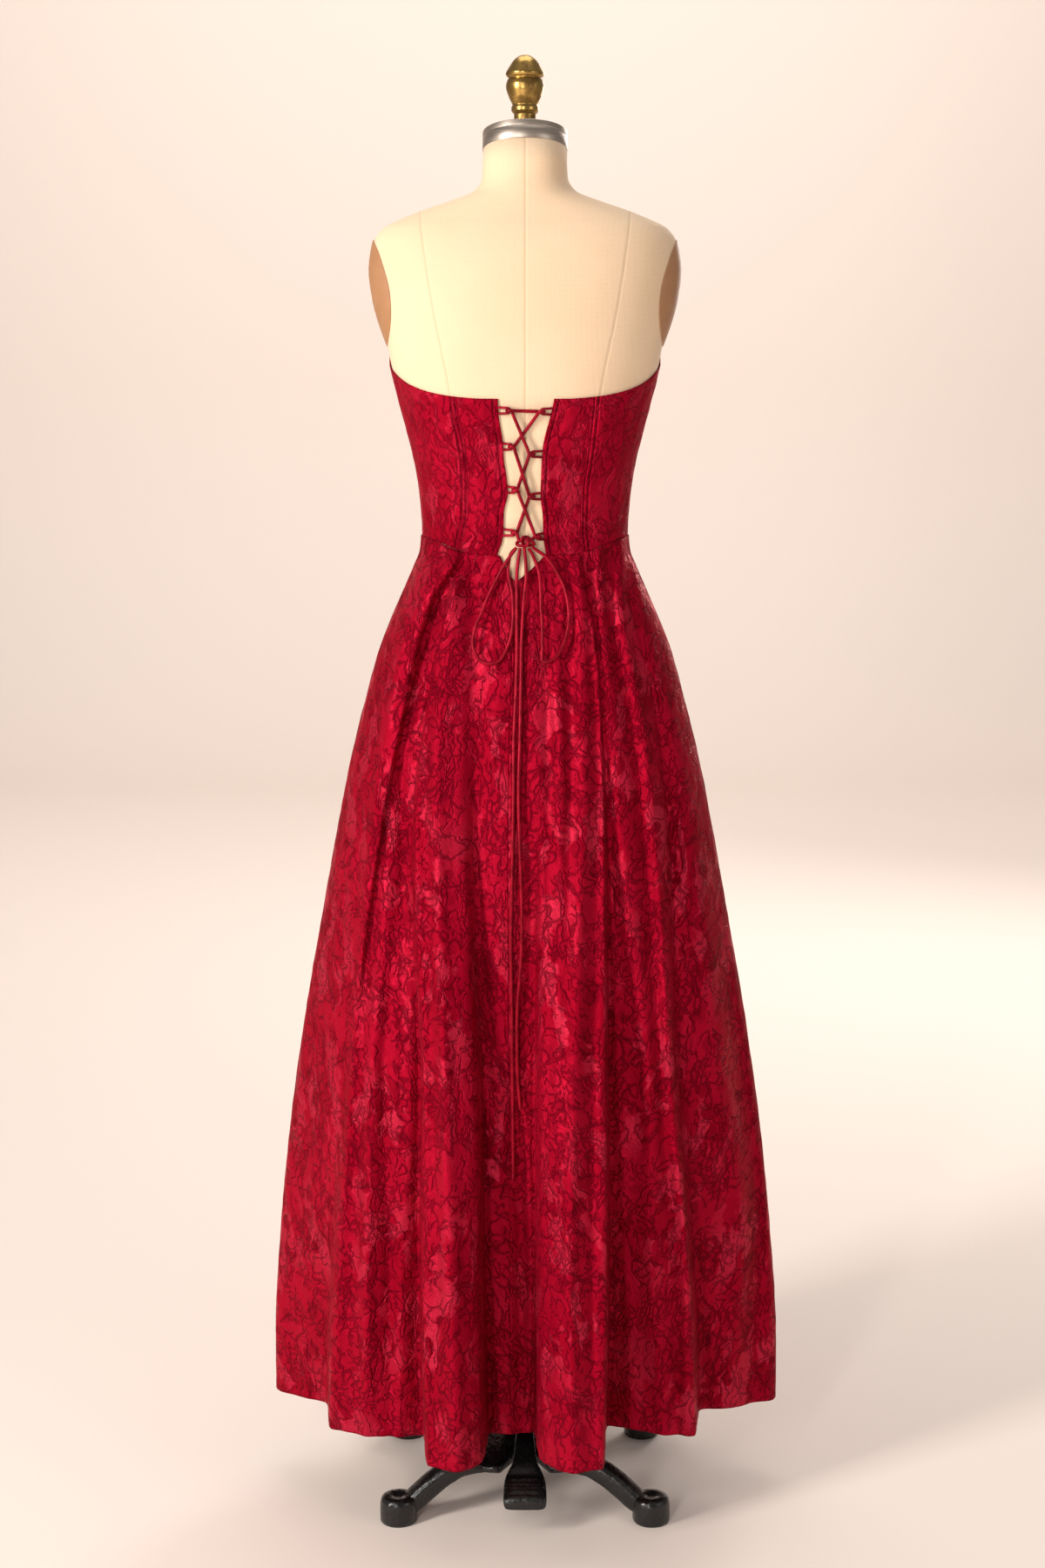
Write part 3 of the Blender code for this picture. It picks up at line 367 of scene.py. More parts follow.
brass, shader = finish("aged_brass", 0.34, 1.0)
age = noise(own_place(shader), 70.0, 8.0, 0.7)
dark = between(age, 0.42, 0.62)
join(shader, tint(dark, (0.46, 0.29, 0.085), (0.20, 0.115, 0.035)),
     between(dark, 0.0, 1.0, 0.27, 0.50), (age, 0.20, 0.0006))
ACORN = np.array([  # height and radius upwards, in tenths of a millimetre
    (0, 130), (205, 130), (222, 146), (250, 162), (285, 162), (310, 148), (330, 158), (420, 200),
    (530, 226), (595, 207), (615, 190), (630, 212), (665, 228), (712, 206), (755, 180), (810, 142),
    (855, 88), (880, 34), (884, 0),
]) / 10000
height = np.concatenate([[0.0], np.linspace(0.0002, 0.0884, 90)])
profile = np.column_stack([through(ACORN[:, 0], ACORN[:, 1], height), height])[::-1]
profile = np.concatenate([profile, [(0.0, 0.0)]])
knob_foot = band_foot + up * BAND_HEIGHT + (0.0, 0.0, 0.0003)
ring_piece("brass_acorn_knob", turned(profile, 64, 0.0, knob_foot, NECK_TILT), brass,
           "neck_finial")


# Stand. A steel post slides in a cast iron column, on a casting with four arched legs and round
# feet, all stove enamelled gloss black, with a ribbed foot pedal in front of the column.
iron, shader = finish("gloss_black_enamel", 0.30, Coat_Weight=0.15, Coat_Roughness=0.12,
                      Specular_IOR_Level=0.42)
skin, lump = (noise(own_place(shader), *grain) for grain in ((190.0, 5.0), (45.0, 3.0)))
join(shader, tint(lump, (0.003, 0.003, 0.003), (0.010, 0.009, 0.009)),
     between(skin, 0.3, 0.75, 0.16, 0.40), (plus(skin, times(lump, 1.5)), 0.60, 0.0011))


def iron_piece(name, places, stands_for=None, body="stand"):
    """Closed piece of black enamelled iron."""
    ring_piece(name, places, iron, stands_for, body=body)


# Radius and height of the post, the column and a foot from the top down, in tenths of a millimetre
POST = np.array([(0, 8995), (120, 8995), (130, 8985), (130, 670), (120, 660), (0, 660)]) / 10000
COLUMN = np.array([
    (133, 2340), (220, 2340), (232, 2336), (252, 2312), (260, 2290), (262, 2240), (256, 2225),
    (256, 2190), (264, 2170), (275, 1500), (282, 1200), (290, 1000), (298, 930), (300, 850),
    (300, 640), (133, 640), (133, 2340)]) / 10000
FOOT = np.array([
    (0, 308), (35, 308), (60, 318), (85, 326), (125, 330), (175, 327), (200, 315), (218, 285),
    (226, 240), (230, 140), (230, 40), (226, 15), (215, 0), (0, 0)]) / 10000
ring_piece("steel_post", turned(POST, 48), steel, "post")
iron_piece("iron_column", turned(COLUMN, 72), "stand_column")

LEG_ROWS = np.array([  # share of the leg, height of its middle, tallness, width
    (0.00, 0.0570, 0.0130, 0.0300), (0.12, 0.0600, 0.0175, 0.0305), (0.25, 0.0605, 0.0220, 0.0300),
    (0.42, 0.0550, 0.0270, 0.0290), (0.62, 0.0415, 0.0280, 0.0280), (0.80, 0.0262, 0.0260, 0.0270),
    (0.90, 0.0190, 0.0215, 0.0265), (0.96, 0.0165, 0.0215, 0.0270),
])
LEG_START, LEG_END = np.array([0.050, 0.092]), np.array([0.156, 0.125])
leg_turn = full_turn(28)
across_share = swell(np.sin(leg_turn), 0.62)
tall_share = swell(np.cos(leg_turn), 0.62)
share = np.linspace(0, 0.96, 40)[:, None]
shrink = np.concatenate([[0.0, 0.75], np.ones(38)])[:, None]
lean = np.maximum(0, share - 0.3) * 0.36
mid, tall, wide = measures(LEG_ROWS, share)
for number, sides in enumerate(((-1, -1), (1, -1), (-1, 1), (1, 1))):
    start, end = LEG_START * sides, LEG_END * sides
    along = (end - start) / np.linalg.norm(end - start)
    across = np.array([-along[1], along[0]])
    flat = (start + (end - start) * share)[:, None, :]
    flat = flat + across * (across_share * wide / 2 * shrink)[..., None]
    flat = flat + along * (tall_share * (tall * lean) * shrink)[..., None]
    level = np.maximum(0.0006, mid + tall_share * tall / 2 * shrink)
    leg = np.concatenate([flat, level[..., None]], axis=-1)
    leg = np.concatenate([leg, leg[-1:].mean(axis=1, keepdims=True) + 0 * leg[-1:]])
    iron_piece(f"iron_leg_{number + 1}", leg[:, ::-1])
    iron_piece(f"iron_foot_{number + 1}", turned(FOOT, 56, foot=(*end, 0.0)))

PLATE_X, PLATE_Y = 0.072, 0.112  # half sizes of the casting's middle
NOTCH_X, NOTCH_Y = 0.021, -0.049  # the notch in it for the pedal
corner = full_turn(64)
plate_x = swell(np.sin(corner), 0.35)
plate_y = -swell(np.cos(corner), 0.35)
notch = np.clip((NOTCH_X - np.abs(plate_x * PLATE_X)) / 0.003, 0, 1) * (plate_y < 0)
rows = []
for grow, height in ((0.0, 0.0637), (-0.0035, 0.0637), (-0.0008, 0.0628), (0.0, 0.0605),
                     (0.0, 0.0565), (-0.0010, 0.0545), (-0.0040, 0.0540), (0.0, 0.0540)):
    y = plate_y * (PLATE_Y + grow)
    rows.append(np.stack([plate_x * (PLATE_X + grow), y + (NOTCH_Y - y) * notch,
                          np.full(64, height)], axis=-1))
for middle in (0, -1):
    rows[middle] = rows[middle] * (0.0, 0.0, 1.0)
iron_piece("iron_base_plate", np.array(rows), "stand_casting")

# Reach towards -Y, height of the top and of the underside and half width, in tenths of a millimetre
PEDAL_ROWS = np.array([
    (304, 855, 745, 110), (500, 853, 742, 112), (700, 840, 735, 120), (900, 775, 655, 135),
    (1080, 700, 565, 160), (1170, 645, 500, 205), (1240, 580, 440, 245), (1400, 555, 430, 262),
    (1600, 540, 415, 266), (1690, 520, 370, 262), (1725, 470, 362, 245),
]) / 10000
reach = np.linspace(0.0304, 0.1725, 72)[:, None]
top, under, half = measures(PEDAL_ROWS, reach)
round_share = swell(np.sin(leg_turn), 0.45)
high_share = swell(np.cos(leg_turn), 0.45)
FIRST_RIB, RIB_STEP, RIB_RISE = 0.1330, 0.0095, 0.0024
tread = (reach > 0.1285) & (reach < 0.1665)
wave = np.cos((FIRST_RIB - reach) * 2 * math.pi / RIB_STEP)
rib = RIB_RISE * np.where(tread, np.clip(wave * 2.2, -0.2, 1), 0)
lift = np.clip(high_share, 0, 1) ** 2 * (np.abs(round_share) < 0.86)
z = (top + under) / 2 + (top - under) / 2 * high_share + rib * lift
pedal = np.stack([half * round_share, -reach + 0 * z, z], axis=-1)
ends = [row.mean(axis=1, keepdims=True) + 0 * row for row in (pedal[:1], pedal[-1:])]
iron_piece("ribbed_foot_pedal", np.concatenate([ends[0], pedal, ends[1]]), "pedal", "pedal")


# Bodice. Eight panels of crimson jacquard, boned at the seams, with stitching drawn down the laced
# opening and beside the princess seams, but none along the top edge. They sit on the form and meet
# at stitched seams.
CLOTH = 0.0016
SHOWN_CLOTH = 0.0013
FORM_AIR = 0.0008
SEAM = 0.00006
TOP_EDGE = np.array([  # degrees from the centre back, height
    (0, 1.3688), (15, 1.3690), (30, 1.3715), (45, 1.3770), (60, 1.3860), (75, 1.3980), (90, 1.4090),
    (105, 1.4300), (120, 1.4450), (140, 1.4540), (155, 1.4520), (180, 1.4380),
])
WAIST_EDGE = np.array([
    (0, 1.1870), (20, 1.1880), (35, 1.1925), (50, 1.2000), (70, 1.2050), (90, 1.2065),
    (130, 1.2050), (160, 1.2010), (180, 1.1960),
])
OPENING = {  # height and x of the edge, in tenths of a millimetre
    "left": np.array([
        (11500, -330), (11860, -327), (12045, -270), (12175, -255), (12370, -250), (12600, -203),
        (12800, -220), (13000, -250), (13170, -258), (13530, -310), (13800, -318)]) / 10000,
    "right": np.array([
        (11500, 250), (11830, 246), (12104, 215), (12350, 205), (12560, 180), (12970, 193),
        (13110, 203), (13530, 303), (13800, 360)]) / 10000,
}
PRINCESS = {
    "left": np.array([
        (11500, -820), (11923, -759), (12313, -675), (12640, -663), (12914, -671), (13217, -710),
        (13468, -769), (13900, -800)]) / 10000,
    "right": np.array([
        (11500, 740), (11945, 678), (12150, 656), (12619, 664), (12995, 712), (13548, 769),
        (13900, 790)]) / 10000,
}
FRONT_PRINCESS = 146.0


def jacquard(name, stitched=(), boldness=1.0):
    """Crimson jacquard: satin and matt patches, the satin ones a real weave but painted lighter as
    painted sheen, dark matt petals, flowers and leaves drawn by dark sunk threads, and puckered
    ground between, whose creases are darkened with painted shade. stitched pairs a point value,
    such as the distance from an edge, with the distance at which a line of stitching runs. boldness
    is the strength of the drawing, of the painted crease shade and of the painted sheen."""
    material, shader = finish(name, 0.45, metallic=0.36, Specular_IOR_Level=0.12, Sheen_Weight=0.04,
                              Sheen_Roughness=0.35, Sheen_Tint=(1.0, 0.05, 0.12, 1.0),
                              Specular_Tint=(1.0, 0.06, 0.14, 1.0))
    tree = shader.id_data
    flat = node(tree, "UVMap", uv_map="cloth").outputs[0]

    def grain(where, scale, detail=3.0, output="Fac"):
        """Flat noise."""
        return noise(where, scale, detail, 0.6, output, "2D")

    def squeezed(lengthways):
        """The bent places with their length down the cloth made smaller."""
        return vectors("MULTIPLY", bent, (1.0, lengthways, 0.0))

    def cells(where, scale, offset):
        """Position from the middle of each random cell, turned by a random angle, and another
        random value of the cell."""
        moved = vectors("ADD", where, (offset, offset * 1.7, 0.0))
        cell = node(tree, "TexVoronoi", {"Vector": moved, "Scale": scale, "Randomness": 0.85},
                    voronoi_dimensions="2D", feature="F1").outputs
        local = vectors("SUBTRACT", moved, cell["Position"])
        chance = node(tree, "SeparateColor", {0: cell["Color"]}).outputs
        angle = times(chance[0], 2 * math.pi)
        turned_round = node(tree, "VectorRotate", {"Vector": local, "Angle": angle},
                            rotation_type="Z_AXIS")
        return turned_round.outputs[0], chance[1]

    def network(scale):
        """Distance in metres from the edges of random cells."""
        edges = node(tree, "TexVoronoi", {"Vector": low, "Scale": scale}, voronoi_dimensions="2D",
                     feature="DISTANCE_TO_EDGE").outputs["Distance"]
        return maths("DIVIDE", edges, scale)

    bent = flat
    for scale, reach in ((14.0, 0.034), (95.0, 0.008)):
        shift = grain(flat, scale, output="Color")
        bent = vectors("MULTIPLY_ADD", shift, (reach, reach, 0.0), bent)
    tall = squeezed(0.52)
    low = squeezed(0.55)
    # Flowers: five round petals, a smaller ring of petals inside, and lines between the petals
    local, _ = cells(tall, 11.5, 0.3)
    xy = parts(local)
    angle = times(maths("ARCTAN2", xy[1], xy[0]), 2.5)
    radius = vectors("LENGTH", local)
    rim = maths("MULTIPLY_ADD", absolute(maths("COSINE", angle)), 0.010, 0.0165)
    inner_rim = maths("MULTIPLY_ADD", absolute(maths("SINE", angle)), 0.0050, 0.0065)
    lines = [absolute(minus(radius, rim)), absolute(minus(radius, inner_rim))]
    inside = minus(1.0, maths("GREATER_THAN", radius, plus(rim, 0.004)))
    # Leaves: pointed outlines, kept off the flowers
    for scale, offset, length, width in ((24.0, 1.1, 0.019, 0.0070), (33.0, 2.3, 0.013, 0.0052)):
        local, _ = cells(tall, scale, offset)
        xy = parts(local)
        along = maths("POWER", absolute(maths("DIVIDE", xy[0], length)), 1.7)
        edge = absolute(minus(absolute(xy[1]), times(minus(1.0, along), width)))
        lines.append(plus(edge, times(inside, 0.02)))
    # Puckers: broken networks of creases, a wide one and a close one, each in its own areas. Their
    # creases are sunk in the bump and also darkened in the colour below as painted shade.
    areas = (between(grain(bent, 11.0, 4.0), 0.38, 0.48),
             between(grain(vectors("ADD", bent, (3.1, 1.3, 0.0)), 17.0, 4.0), 0.44, 0.54))
    for area, scale, nearest in zip(areas, (58.0, 125.0), (0.0001, 0.0002)):
        lines.append(plus(network(scale), between(area, 0.0, 1.0, 0.006, nearest)))
    near = functools.reduce(functools.partial(maths, "MINIMUM"), lines)
    # The drawing breaks off here and there
    faint = between(grain(flat, 48.0), 0.33, 0.46)
    # Dark lines: partly threads drawing the flowers and leaves, partly painted shade in the pucker
    # creases
    thread_and_crease_shade = times(between(near, 0.0003, 0.0010, 1.0, 0.0), faint)
    groove = times(between(near, 0.0, 0.0019, 1.0, 0.0), faint)

    # Satin patches: a real weave pattern, smoother than the matt ground, and also painted lighter
    # as painted sheen
    satin = between(grain(squeezed(0.32), 34.0, 5.0), 0.51, 0.57)
    local, chance = cells(squeezed(0.72), 46.0, 4.2)
    dark_petal = between(vectors("LENGTH", local), 0.0055, 0.0070, 1.0, 0.0)
    dark_petal = times(dark_petal, maths("GREATER_THAN", chance, 0.62))
    satin = times(satin, minus(1.0, dark_petal))
    # The lighter satin colour is painted sheen laid over the matt crimson of the same cloth
    colour = tint(times(satin, boldness), (0.270, 0.0014, 0.0128), (0.440, 0.0165, 0.0430))
    colour = tint(between(grain(flat, 7.0, 2.0), 0.3, 0.7), colour, (0.340, 0.0030, 0.0190))
    colour = tint(times(dark_petal, 0.45 * boldness), colour, (0.130, 0.0008, 0.0065))
    # Darkens the thread outlines and, as painted shade, the pucker creases
    colour = tint(times(thread_and_crease_shade, 0.66 * boldness), colour, (0.040, 0.0007, 0.0035))
    ribs = maths("SINE", times(parts(flat)[1], 2 * math.pi / 0.0014))
    height = plus(times(grain(low, 210.0), 0.9), times(grain(low, 75.0, 2.0), 1.1))
    height = minus(plus(height, times(ribs, 0.03)), groove)
    for mark, distance in stitched:
        value = node(tree, "Attribute", attribute_name=mark).outputs["Fac"]
        gap = absolute(minus(value, distance))
        line = between(gap, 0.0003, 0.0010, 1.0, 0.0)
        colour = tint(times(line, 0.75), colour, (0.050, 0.0010, 0.0040))
        height = minus(height, between(gap, 0.0003, 0.0024, 1.0, 0.0))
    join(shader, colour, between(satin, 0.0, 1.0, 0.56, 0.38), (height, 0.95, 0.0014))
    return material


def laid_flat(places, grain):
    """UV of a cloth grid in metres: across is the length along each row from the grain column, and
    down is the length along that column."""
    step = np.linalg.norm(np.diff(places, axis=1), axis=-1)
    across = np.concatenate([np.zeros((len(places), 1)), np.cumsum(step, axis=1)], axis=1)
    across = across - across[:, grain:grain + 1]
    fall = np.linalg.norm(np.diff(places, axis=0), axis=-1)
    down = np.concatenate([np.zeros((1, places.shape[1])), np.cumsum(fall, axis=0)])
    return across, -down


def outward(places):
    """Unit normals of a grid, pointing to the outside of the piece."""
    normal = np.cross(np.gradient(places, axis=0), np.gradient(places, axis=1))
    return normal / np.maximum(np.linalg.norm(normal, axis=-1, keepdims=True), 1e-12)


def puckers(across, down, size, seed):
    """Low crinkled relief from -1 to 1: waves of like length in random directions, added up."""
    draw = np.random.default_rng(seed)
    total = np.zeros_like(across)
    for _ in range(18):
        way = draw.uniform(0, math.pi)
        length = size * draw.uniform(0.7, 1.7)
        total += np.cos(2 * math.pi / length * (across * math.cos(way) + down * 0.6 * math.sin(way))
                        + draw.uniform(0, 2 * math.pi))
    return total / 5.0


def hand_creases(places, rows):
    """Soft ridges and troughs, given one by one. Each row: x and height of its start and of its
    end, its half width and its rise, minus for a trough, all in mm; it fades out at both ends."""
    total = np.zeros(places.shape[:2])
    for x0, z0, x1, z1, wide, rise in np.array(rows) / 1000:
        run = np.array([x1 - x0, z1 - z0])
        share = ((places[..., 0] - x0) * run[0] + (places[..., 2] - z0) * run[1]) / (run @ run)
        off_x = places[..., 0] - (x0 + share * run[0])
        off_z = places[..., 2] - (z0 + share * run[1])
        fade = np.clip(share * 5, 0, 1) * np.clip((1 - share) * 5, 0, 1)
        fade = fade * fade * (3 - 2 * fade)
        total += rise * fade * np.exp(-(off_x ** 2 + off_z ** 2) / wide ** 2)
    return total


def cloth_piece(name, places, material, across, down, marks=()):
    """Cloth over a grid, its thickness on the inner side, with across and down as its UV in metres
    and marks as named point values."""
    mesh, faces = grid_mesh(name, places, material)
    flat = np.stack([across, down], axis=-1).reshape(-1, 2)
    layer = mesh.uv_layers.new(name="cloth")
    layer.data.foreach_set("uv", flat[faces.ravel()].astype(np.float32).ravel())
    put_marks(mesh, marks)
    piece = add_piece(f"{name}_panel", mesh, "form", name)
    wall = piece.modifiers.new("thickness", "SOLIDIFY")
    wall.thickness = SHOWN_CLOTH
    wall.offset = -1.0
    wall.use_rim = True
    return piece


def seam_angle(rows):
    """Angle of a line of the table at each height, on the bodice's outer face."""
    def at(height):
        half_width = measures(FORM_ROWS, height)[0] + FORM_AIR + CLOTH
        x = measures(rows, height)[0]
        share = np.clip(np.abs(x / half_width), 0, 1)
        return np.sign(x) * np.arcsin(share ** (SQUARENESS / 2))
    return at


def fixed_angle(degrees):
    """The same angle at every height."""
    return lambda height: np.full_like(height, math.radians(degrees))


BODICE_PANELS = (  # name, left edge, right edge, rows, columns
    ("back_left", seam_angle(PRINCESS["left"]), seam_angle(OPENING["left"]), 130, 40),
    ("back_right", seam_angle(OPENING["right"]), seam_angle(PRINCESS["right"]), 130, 40),
    ("side_back_left", fixed_angle(-90), seam_angle(PRINCESS["left"]), 110, 66),
    ("side_back_right", seam_angle(PRINCESS["right"]), fixed_angle(90), 110, 66),
    ("side_front_left", fixed_angle(-FRONT_PRINCESS), fixed_angle(-90), 90, 54),
    ("side_front_right", fixed_angle(90), fixed_angle(FRONT_PRINCESS), 90, 54),
    ("front_left", fixed_angle(-180), fixed_angle(-FRONT_PRINCESS), 90, 42),
    ("front_right", fixed_angle(FRONT_PRINCESS), fixed_angle(180), 90, 42),
)
WRINKLES = {  # panel: x and height of each wrinkle's start and end, half width, rise, all in mm
    "back_left": [
        (-62, 1352, -33, 1320, 3.5, 1.3), (-58, 1341, -36, 1311, 2.6, -0.6),
        (-64, 1330, -42, 1290, 3.8, 1.2), (-56, 1300, -50, 1228, 6, 1.3),
        (-70, 1224, -36, 1216, 2.8, -0.6), (-67, 1238, -40, 1231, 3.4, 1.1),
        (-64, 1209, -38, 1203, 3, 1)],
    "back_right": [
        (34, 1318, 61, 1352, 3.6, 1.3), (31, 1300, 53, 1336, 2.8, -0.6),
        (46, 1290, 52, 1234, 5.5, 1.2), (30, 1226, 62, 1233, 2.8, -0.6),
        (34, 1212, 60, 1217, 3.4, 1.1)],
    "side_back_left": [
        (-117, 1230, -80, 1222, 3.4, -0.6), (-113, 1246, -86, 1240, 4, 1.1),
        (-95, 1375, -90, 1290, 7.5, 1.2), (-120, 1360, -104, 1270, 6, 1)],
    "side_back_right": [
        (76, 1243, 115, 1236, 3.8, -0.6), (80, 1222, 112, 1228, 3.4, 1.1),
        (92, 1372, 88, 1300, 7, 1.2), (118, 1350, 104, 1262, 6, 1)],
    "side_front_left": [
        (-112, 1232, -82, 1226, 3.6, -0.6), (-108, 1246, -78, 1240, 3.6, 1),
        (-120, 1380, -104, 1300, 7, 1.2)],
    "side_front_right": [
        (82, 1224, 113, 1231, 3.6, -0.6), (78, 1250, 104, 1243, 4, 1),
        (118, 1392, 101, 1310, 6.5, 1.2)],
    "front_left": [
        (-58, 1236, -20, 1229, 3.4, 1), (-50, 1222, -12, 1218, 2.8, -0.6),
        (-40, 1420, -20, 1372, 6, 1.1)],
    "front_right": [
        (16, 1225, 56, 1232, 3.2, 1), (22, 1241, 50, 1245, 2.8, -0.6),
        (46, 1412, 22, 1360, 6.5, 1.1)],
}
bodice_cloth = jacquard("crimson_jacquard_bodice", (
    ("from_placket", 0.0), ("from_channel", 0.0), ("from_channel", 0.0055)), boldness=0.6)
cloth_pieces = []
WAIST_RADIUS = 0.11
for number, (name, start, stop, rows, columns) in enumerate(BODICE_PANELS):
    share_down = np.linspace(0, 1, rows)[:, None]
    share_round = np.linspace(0, 1, columns)[None, :]
    height = np.full((rows, columns), 1.30)
    for _ in range(8):
        first, last = start(height), stop(height)
        degrees = np.degrees(np.abs(first + (last - first) * share_round))
        degrees = np.where(degrees > 180, 360 - degrees, degrees)
        top = measures(TOP_EDGE, degrees[0])[0]
        bottom = measures(WAIST_EDGE, degrees[-1])[0] + SEAM / 2
        height = top + (bottom - top) * share_down
    inset = SEAM / 2 / WAIST_RADIUS
    angle = first + inset + (last - first - 2 * inset) * share_round
    places = on_body(angle, height, FORM_AIR + CLOTH)
    across, down = laid_flat(places, columns // 2)
    left = across - across[:, :1]
    right = across[:, -1:] - across
    low = down - down[-1:]
    edge = np.minimum(np.minimum(left, right), np.minimum(-down, low))
    ease = np.clip(edge / 0.012, 0, 1)
    relief = puckers(across, down, 0.016, 40 + number) * 0.00035
    relief = relief + hand_creases(places, WRINKLES[name])
    places = places + outward(places) * (relief * ease)[..., None]
    # The placket is stitched beside the opening; a boning channel lies outside each princess seam
    far = np.full_like(left, 1.0)
    placket = {"back_left": right, "back_right": left}.get(name, far) - 0.0060
    channel = {"side_back_left": right, "side_back_right": left, "side_front_left": left,
               "side_front_right": right}.get(name, far) - 0.0030
    marks = {"from_placket": placket, "from_channel": channel}
    piece = cloth_piece(f"bodice_{name}", places, bodice_cloth, across + 0.9 * number, down, marks)
    cloth_pieces.append((piece, across, down, "stretched"))


# Skirt. Four flared panels of the same jacquard, pleated into the waist seam, joined at the centres
# and sides, with a V left open below the lacing. Deep soft folds open out towards the hem.
HEM_HEIGHT = 0.11
NOTCH_BOTTOM = 1.1555
NOTCH_LEFT, CENTRE_SEAM_X, NOTCH_RIGHT = -0.0300, -0.0100, 0.0240
SKIRT_ROWS = np.array([  # columns and units as in the form's table
    (1100, 3210, 2250, 2250), (1925, 3200, 2200, 2200), (3320, 3100, 2090, 2100),
    (4690, 2950, 1980, 1980), (6050, 2750, 1850, 1850), (7380, 2510, 1700, 1710),
    (8480, 2305, 1560, 1580), (9340, 2130, 1430, 1450), (10200, 1910, 1260, 1270),
    (10630, 1790, 1150, 1170), (11050, 1630, 1030, 1070), (11480, 1440, 915, 960),
    (11700, 1345, 860, 895), (11900, 1268, 816, 842), (12110, 1250, 812, 847),
]) / 10000
FOLD_LEVELS = np.array([0.110, 0.550, 0.950, 1.190])
# Lines down the cloth. Degrees from the centre back at waist, hip, knee and hem, then how many mm
# the line sinks behind the full outline at hip, knee and hem
BACK_FOLDS = {
    "side_left": (-90, -90, -90, -90, 0, 5, 30),
    "side_panel_left": (-60, -63, -63.5, -64, 1, 40, 105),
    "pleat_flap": (-35.8, -46.6, -48, -49.5, 0, 36, 128),
    "pleat_under": (-34.8, -43.2, -44.9, -45.8, 12, 30, 62),
    "pleat_middle": (-34.1, -38.7, -33.7, -29.2, 13, 30, 73),
    "pleat_inner": (-33.4, -34.4, -23.4, -20, 13, 42, 92),
    "pleat_edge": (-32.3, -32, -21.4, -18.2, 0, 5, 9),
    "lobe_left": (-24.7, -25, -16.1, -12, 0, -2, -2),
    "flank_left": (-14.5, -15.8, -9.4, -6.9, 3, 14, 30),
    "valley_left": (-9, -12.2, -7.6, -5.6, 9, 52, 108),
    "centre": (-3.2, -3.5, -2.5, -1.9, 7, 50, 104),
    "valley_right": (3.4, 1.8, 1.2, 1, 6, 52, 112),
    "flank_right": (7.2, 4.6, 2.7, 2.2, 2, 16, 32),
    "lobe_right": (17, 14, 9.1, 8, 0, -2, -3),
    "fold_edge": (28, 21.9, 16.2, 13.8, 0, 0, 2),
    "fold_under": (29.4, 23.8, 18, 15.7, 12, 52, 122),
    "side_lobe": (39, 32.4, 28.7, 29.2, 5, 34, 80),
    "soft_lobe": (49.5, 45.5, 35.8, 37.4, 1, 22, 60),
    "soft_fold": (54, 49.5, 39.3, 41, 8, 54, 128),
    "side_panel_right": (68, 66, 61, 62, 2, 36, 85),
    "side_right": (90, 90, 90, 90, 0, 0, 0),
}
FRONT_FOLDS = {
    "side_right": (90, 90, 90, 90, 0, 0, 0),
    "front_side_right": (112, 114, 117, 118, 2, 34, 80),
    "front_soft_fold_right": (125, 129, 136, 137, 6, 48, 115),
    "front_soft_lobe_right": (129, 133, 140, 141, 1, 20, 56),
    "front_side_lobe_right": (139, 143, 149, 151, 6, 34, 76),
    "front_under_right": (146.6, 151, 157.5, 160, 12, 50, 112),
    "front_edge_right": (148, 153, 159.5, 162, 0, 0, 2),
    "front_lobe_right": (158, 163, 166, 168, 0, -2, -3),
    "front_centre": (180, 180, 180, 180, 4, 24, 55),
    "front_lobe_left": (202, 197, 194.5, 193, 0, -2, -3),
    "front_edge_left": (212, 207, 201, 198.5, 0, 0, 2),
    "front_under_left": (213.4, 209, 203, 200.5, 12, 48, 108),
    "front_side_lobe_left": (221, 217, 212, 210, 6, 36, 80),
    "front_soft_lobe_left": (231, 227, 221, 220, 1, 22, 60),
    "front_soft_fold_left": (235, 231, 225, 224, 6, 46, 110),
    "front_side_left": (248, 246, 243, 242, 2, 24, 55),
    "side_left": (270, 270, 270, 270, 0, -5, -30),
}

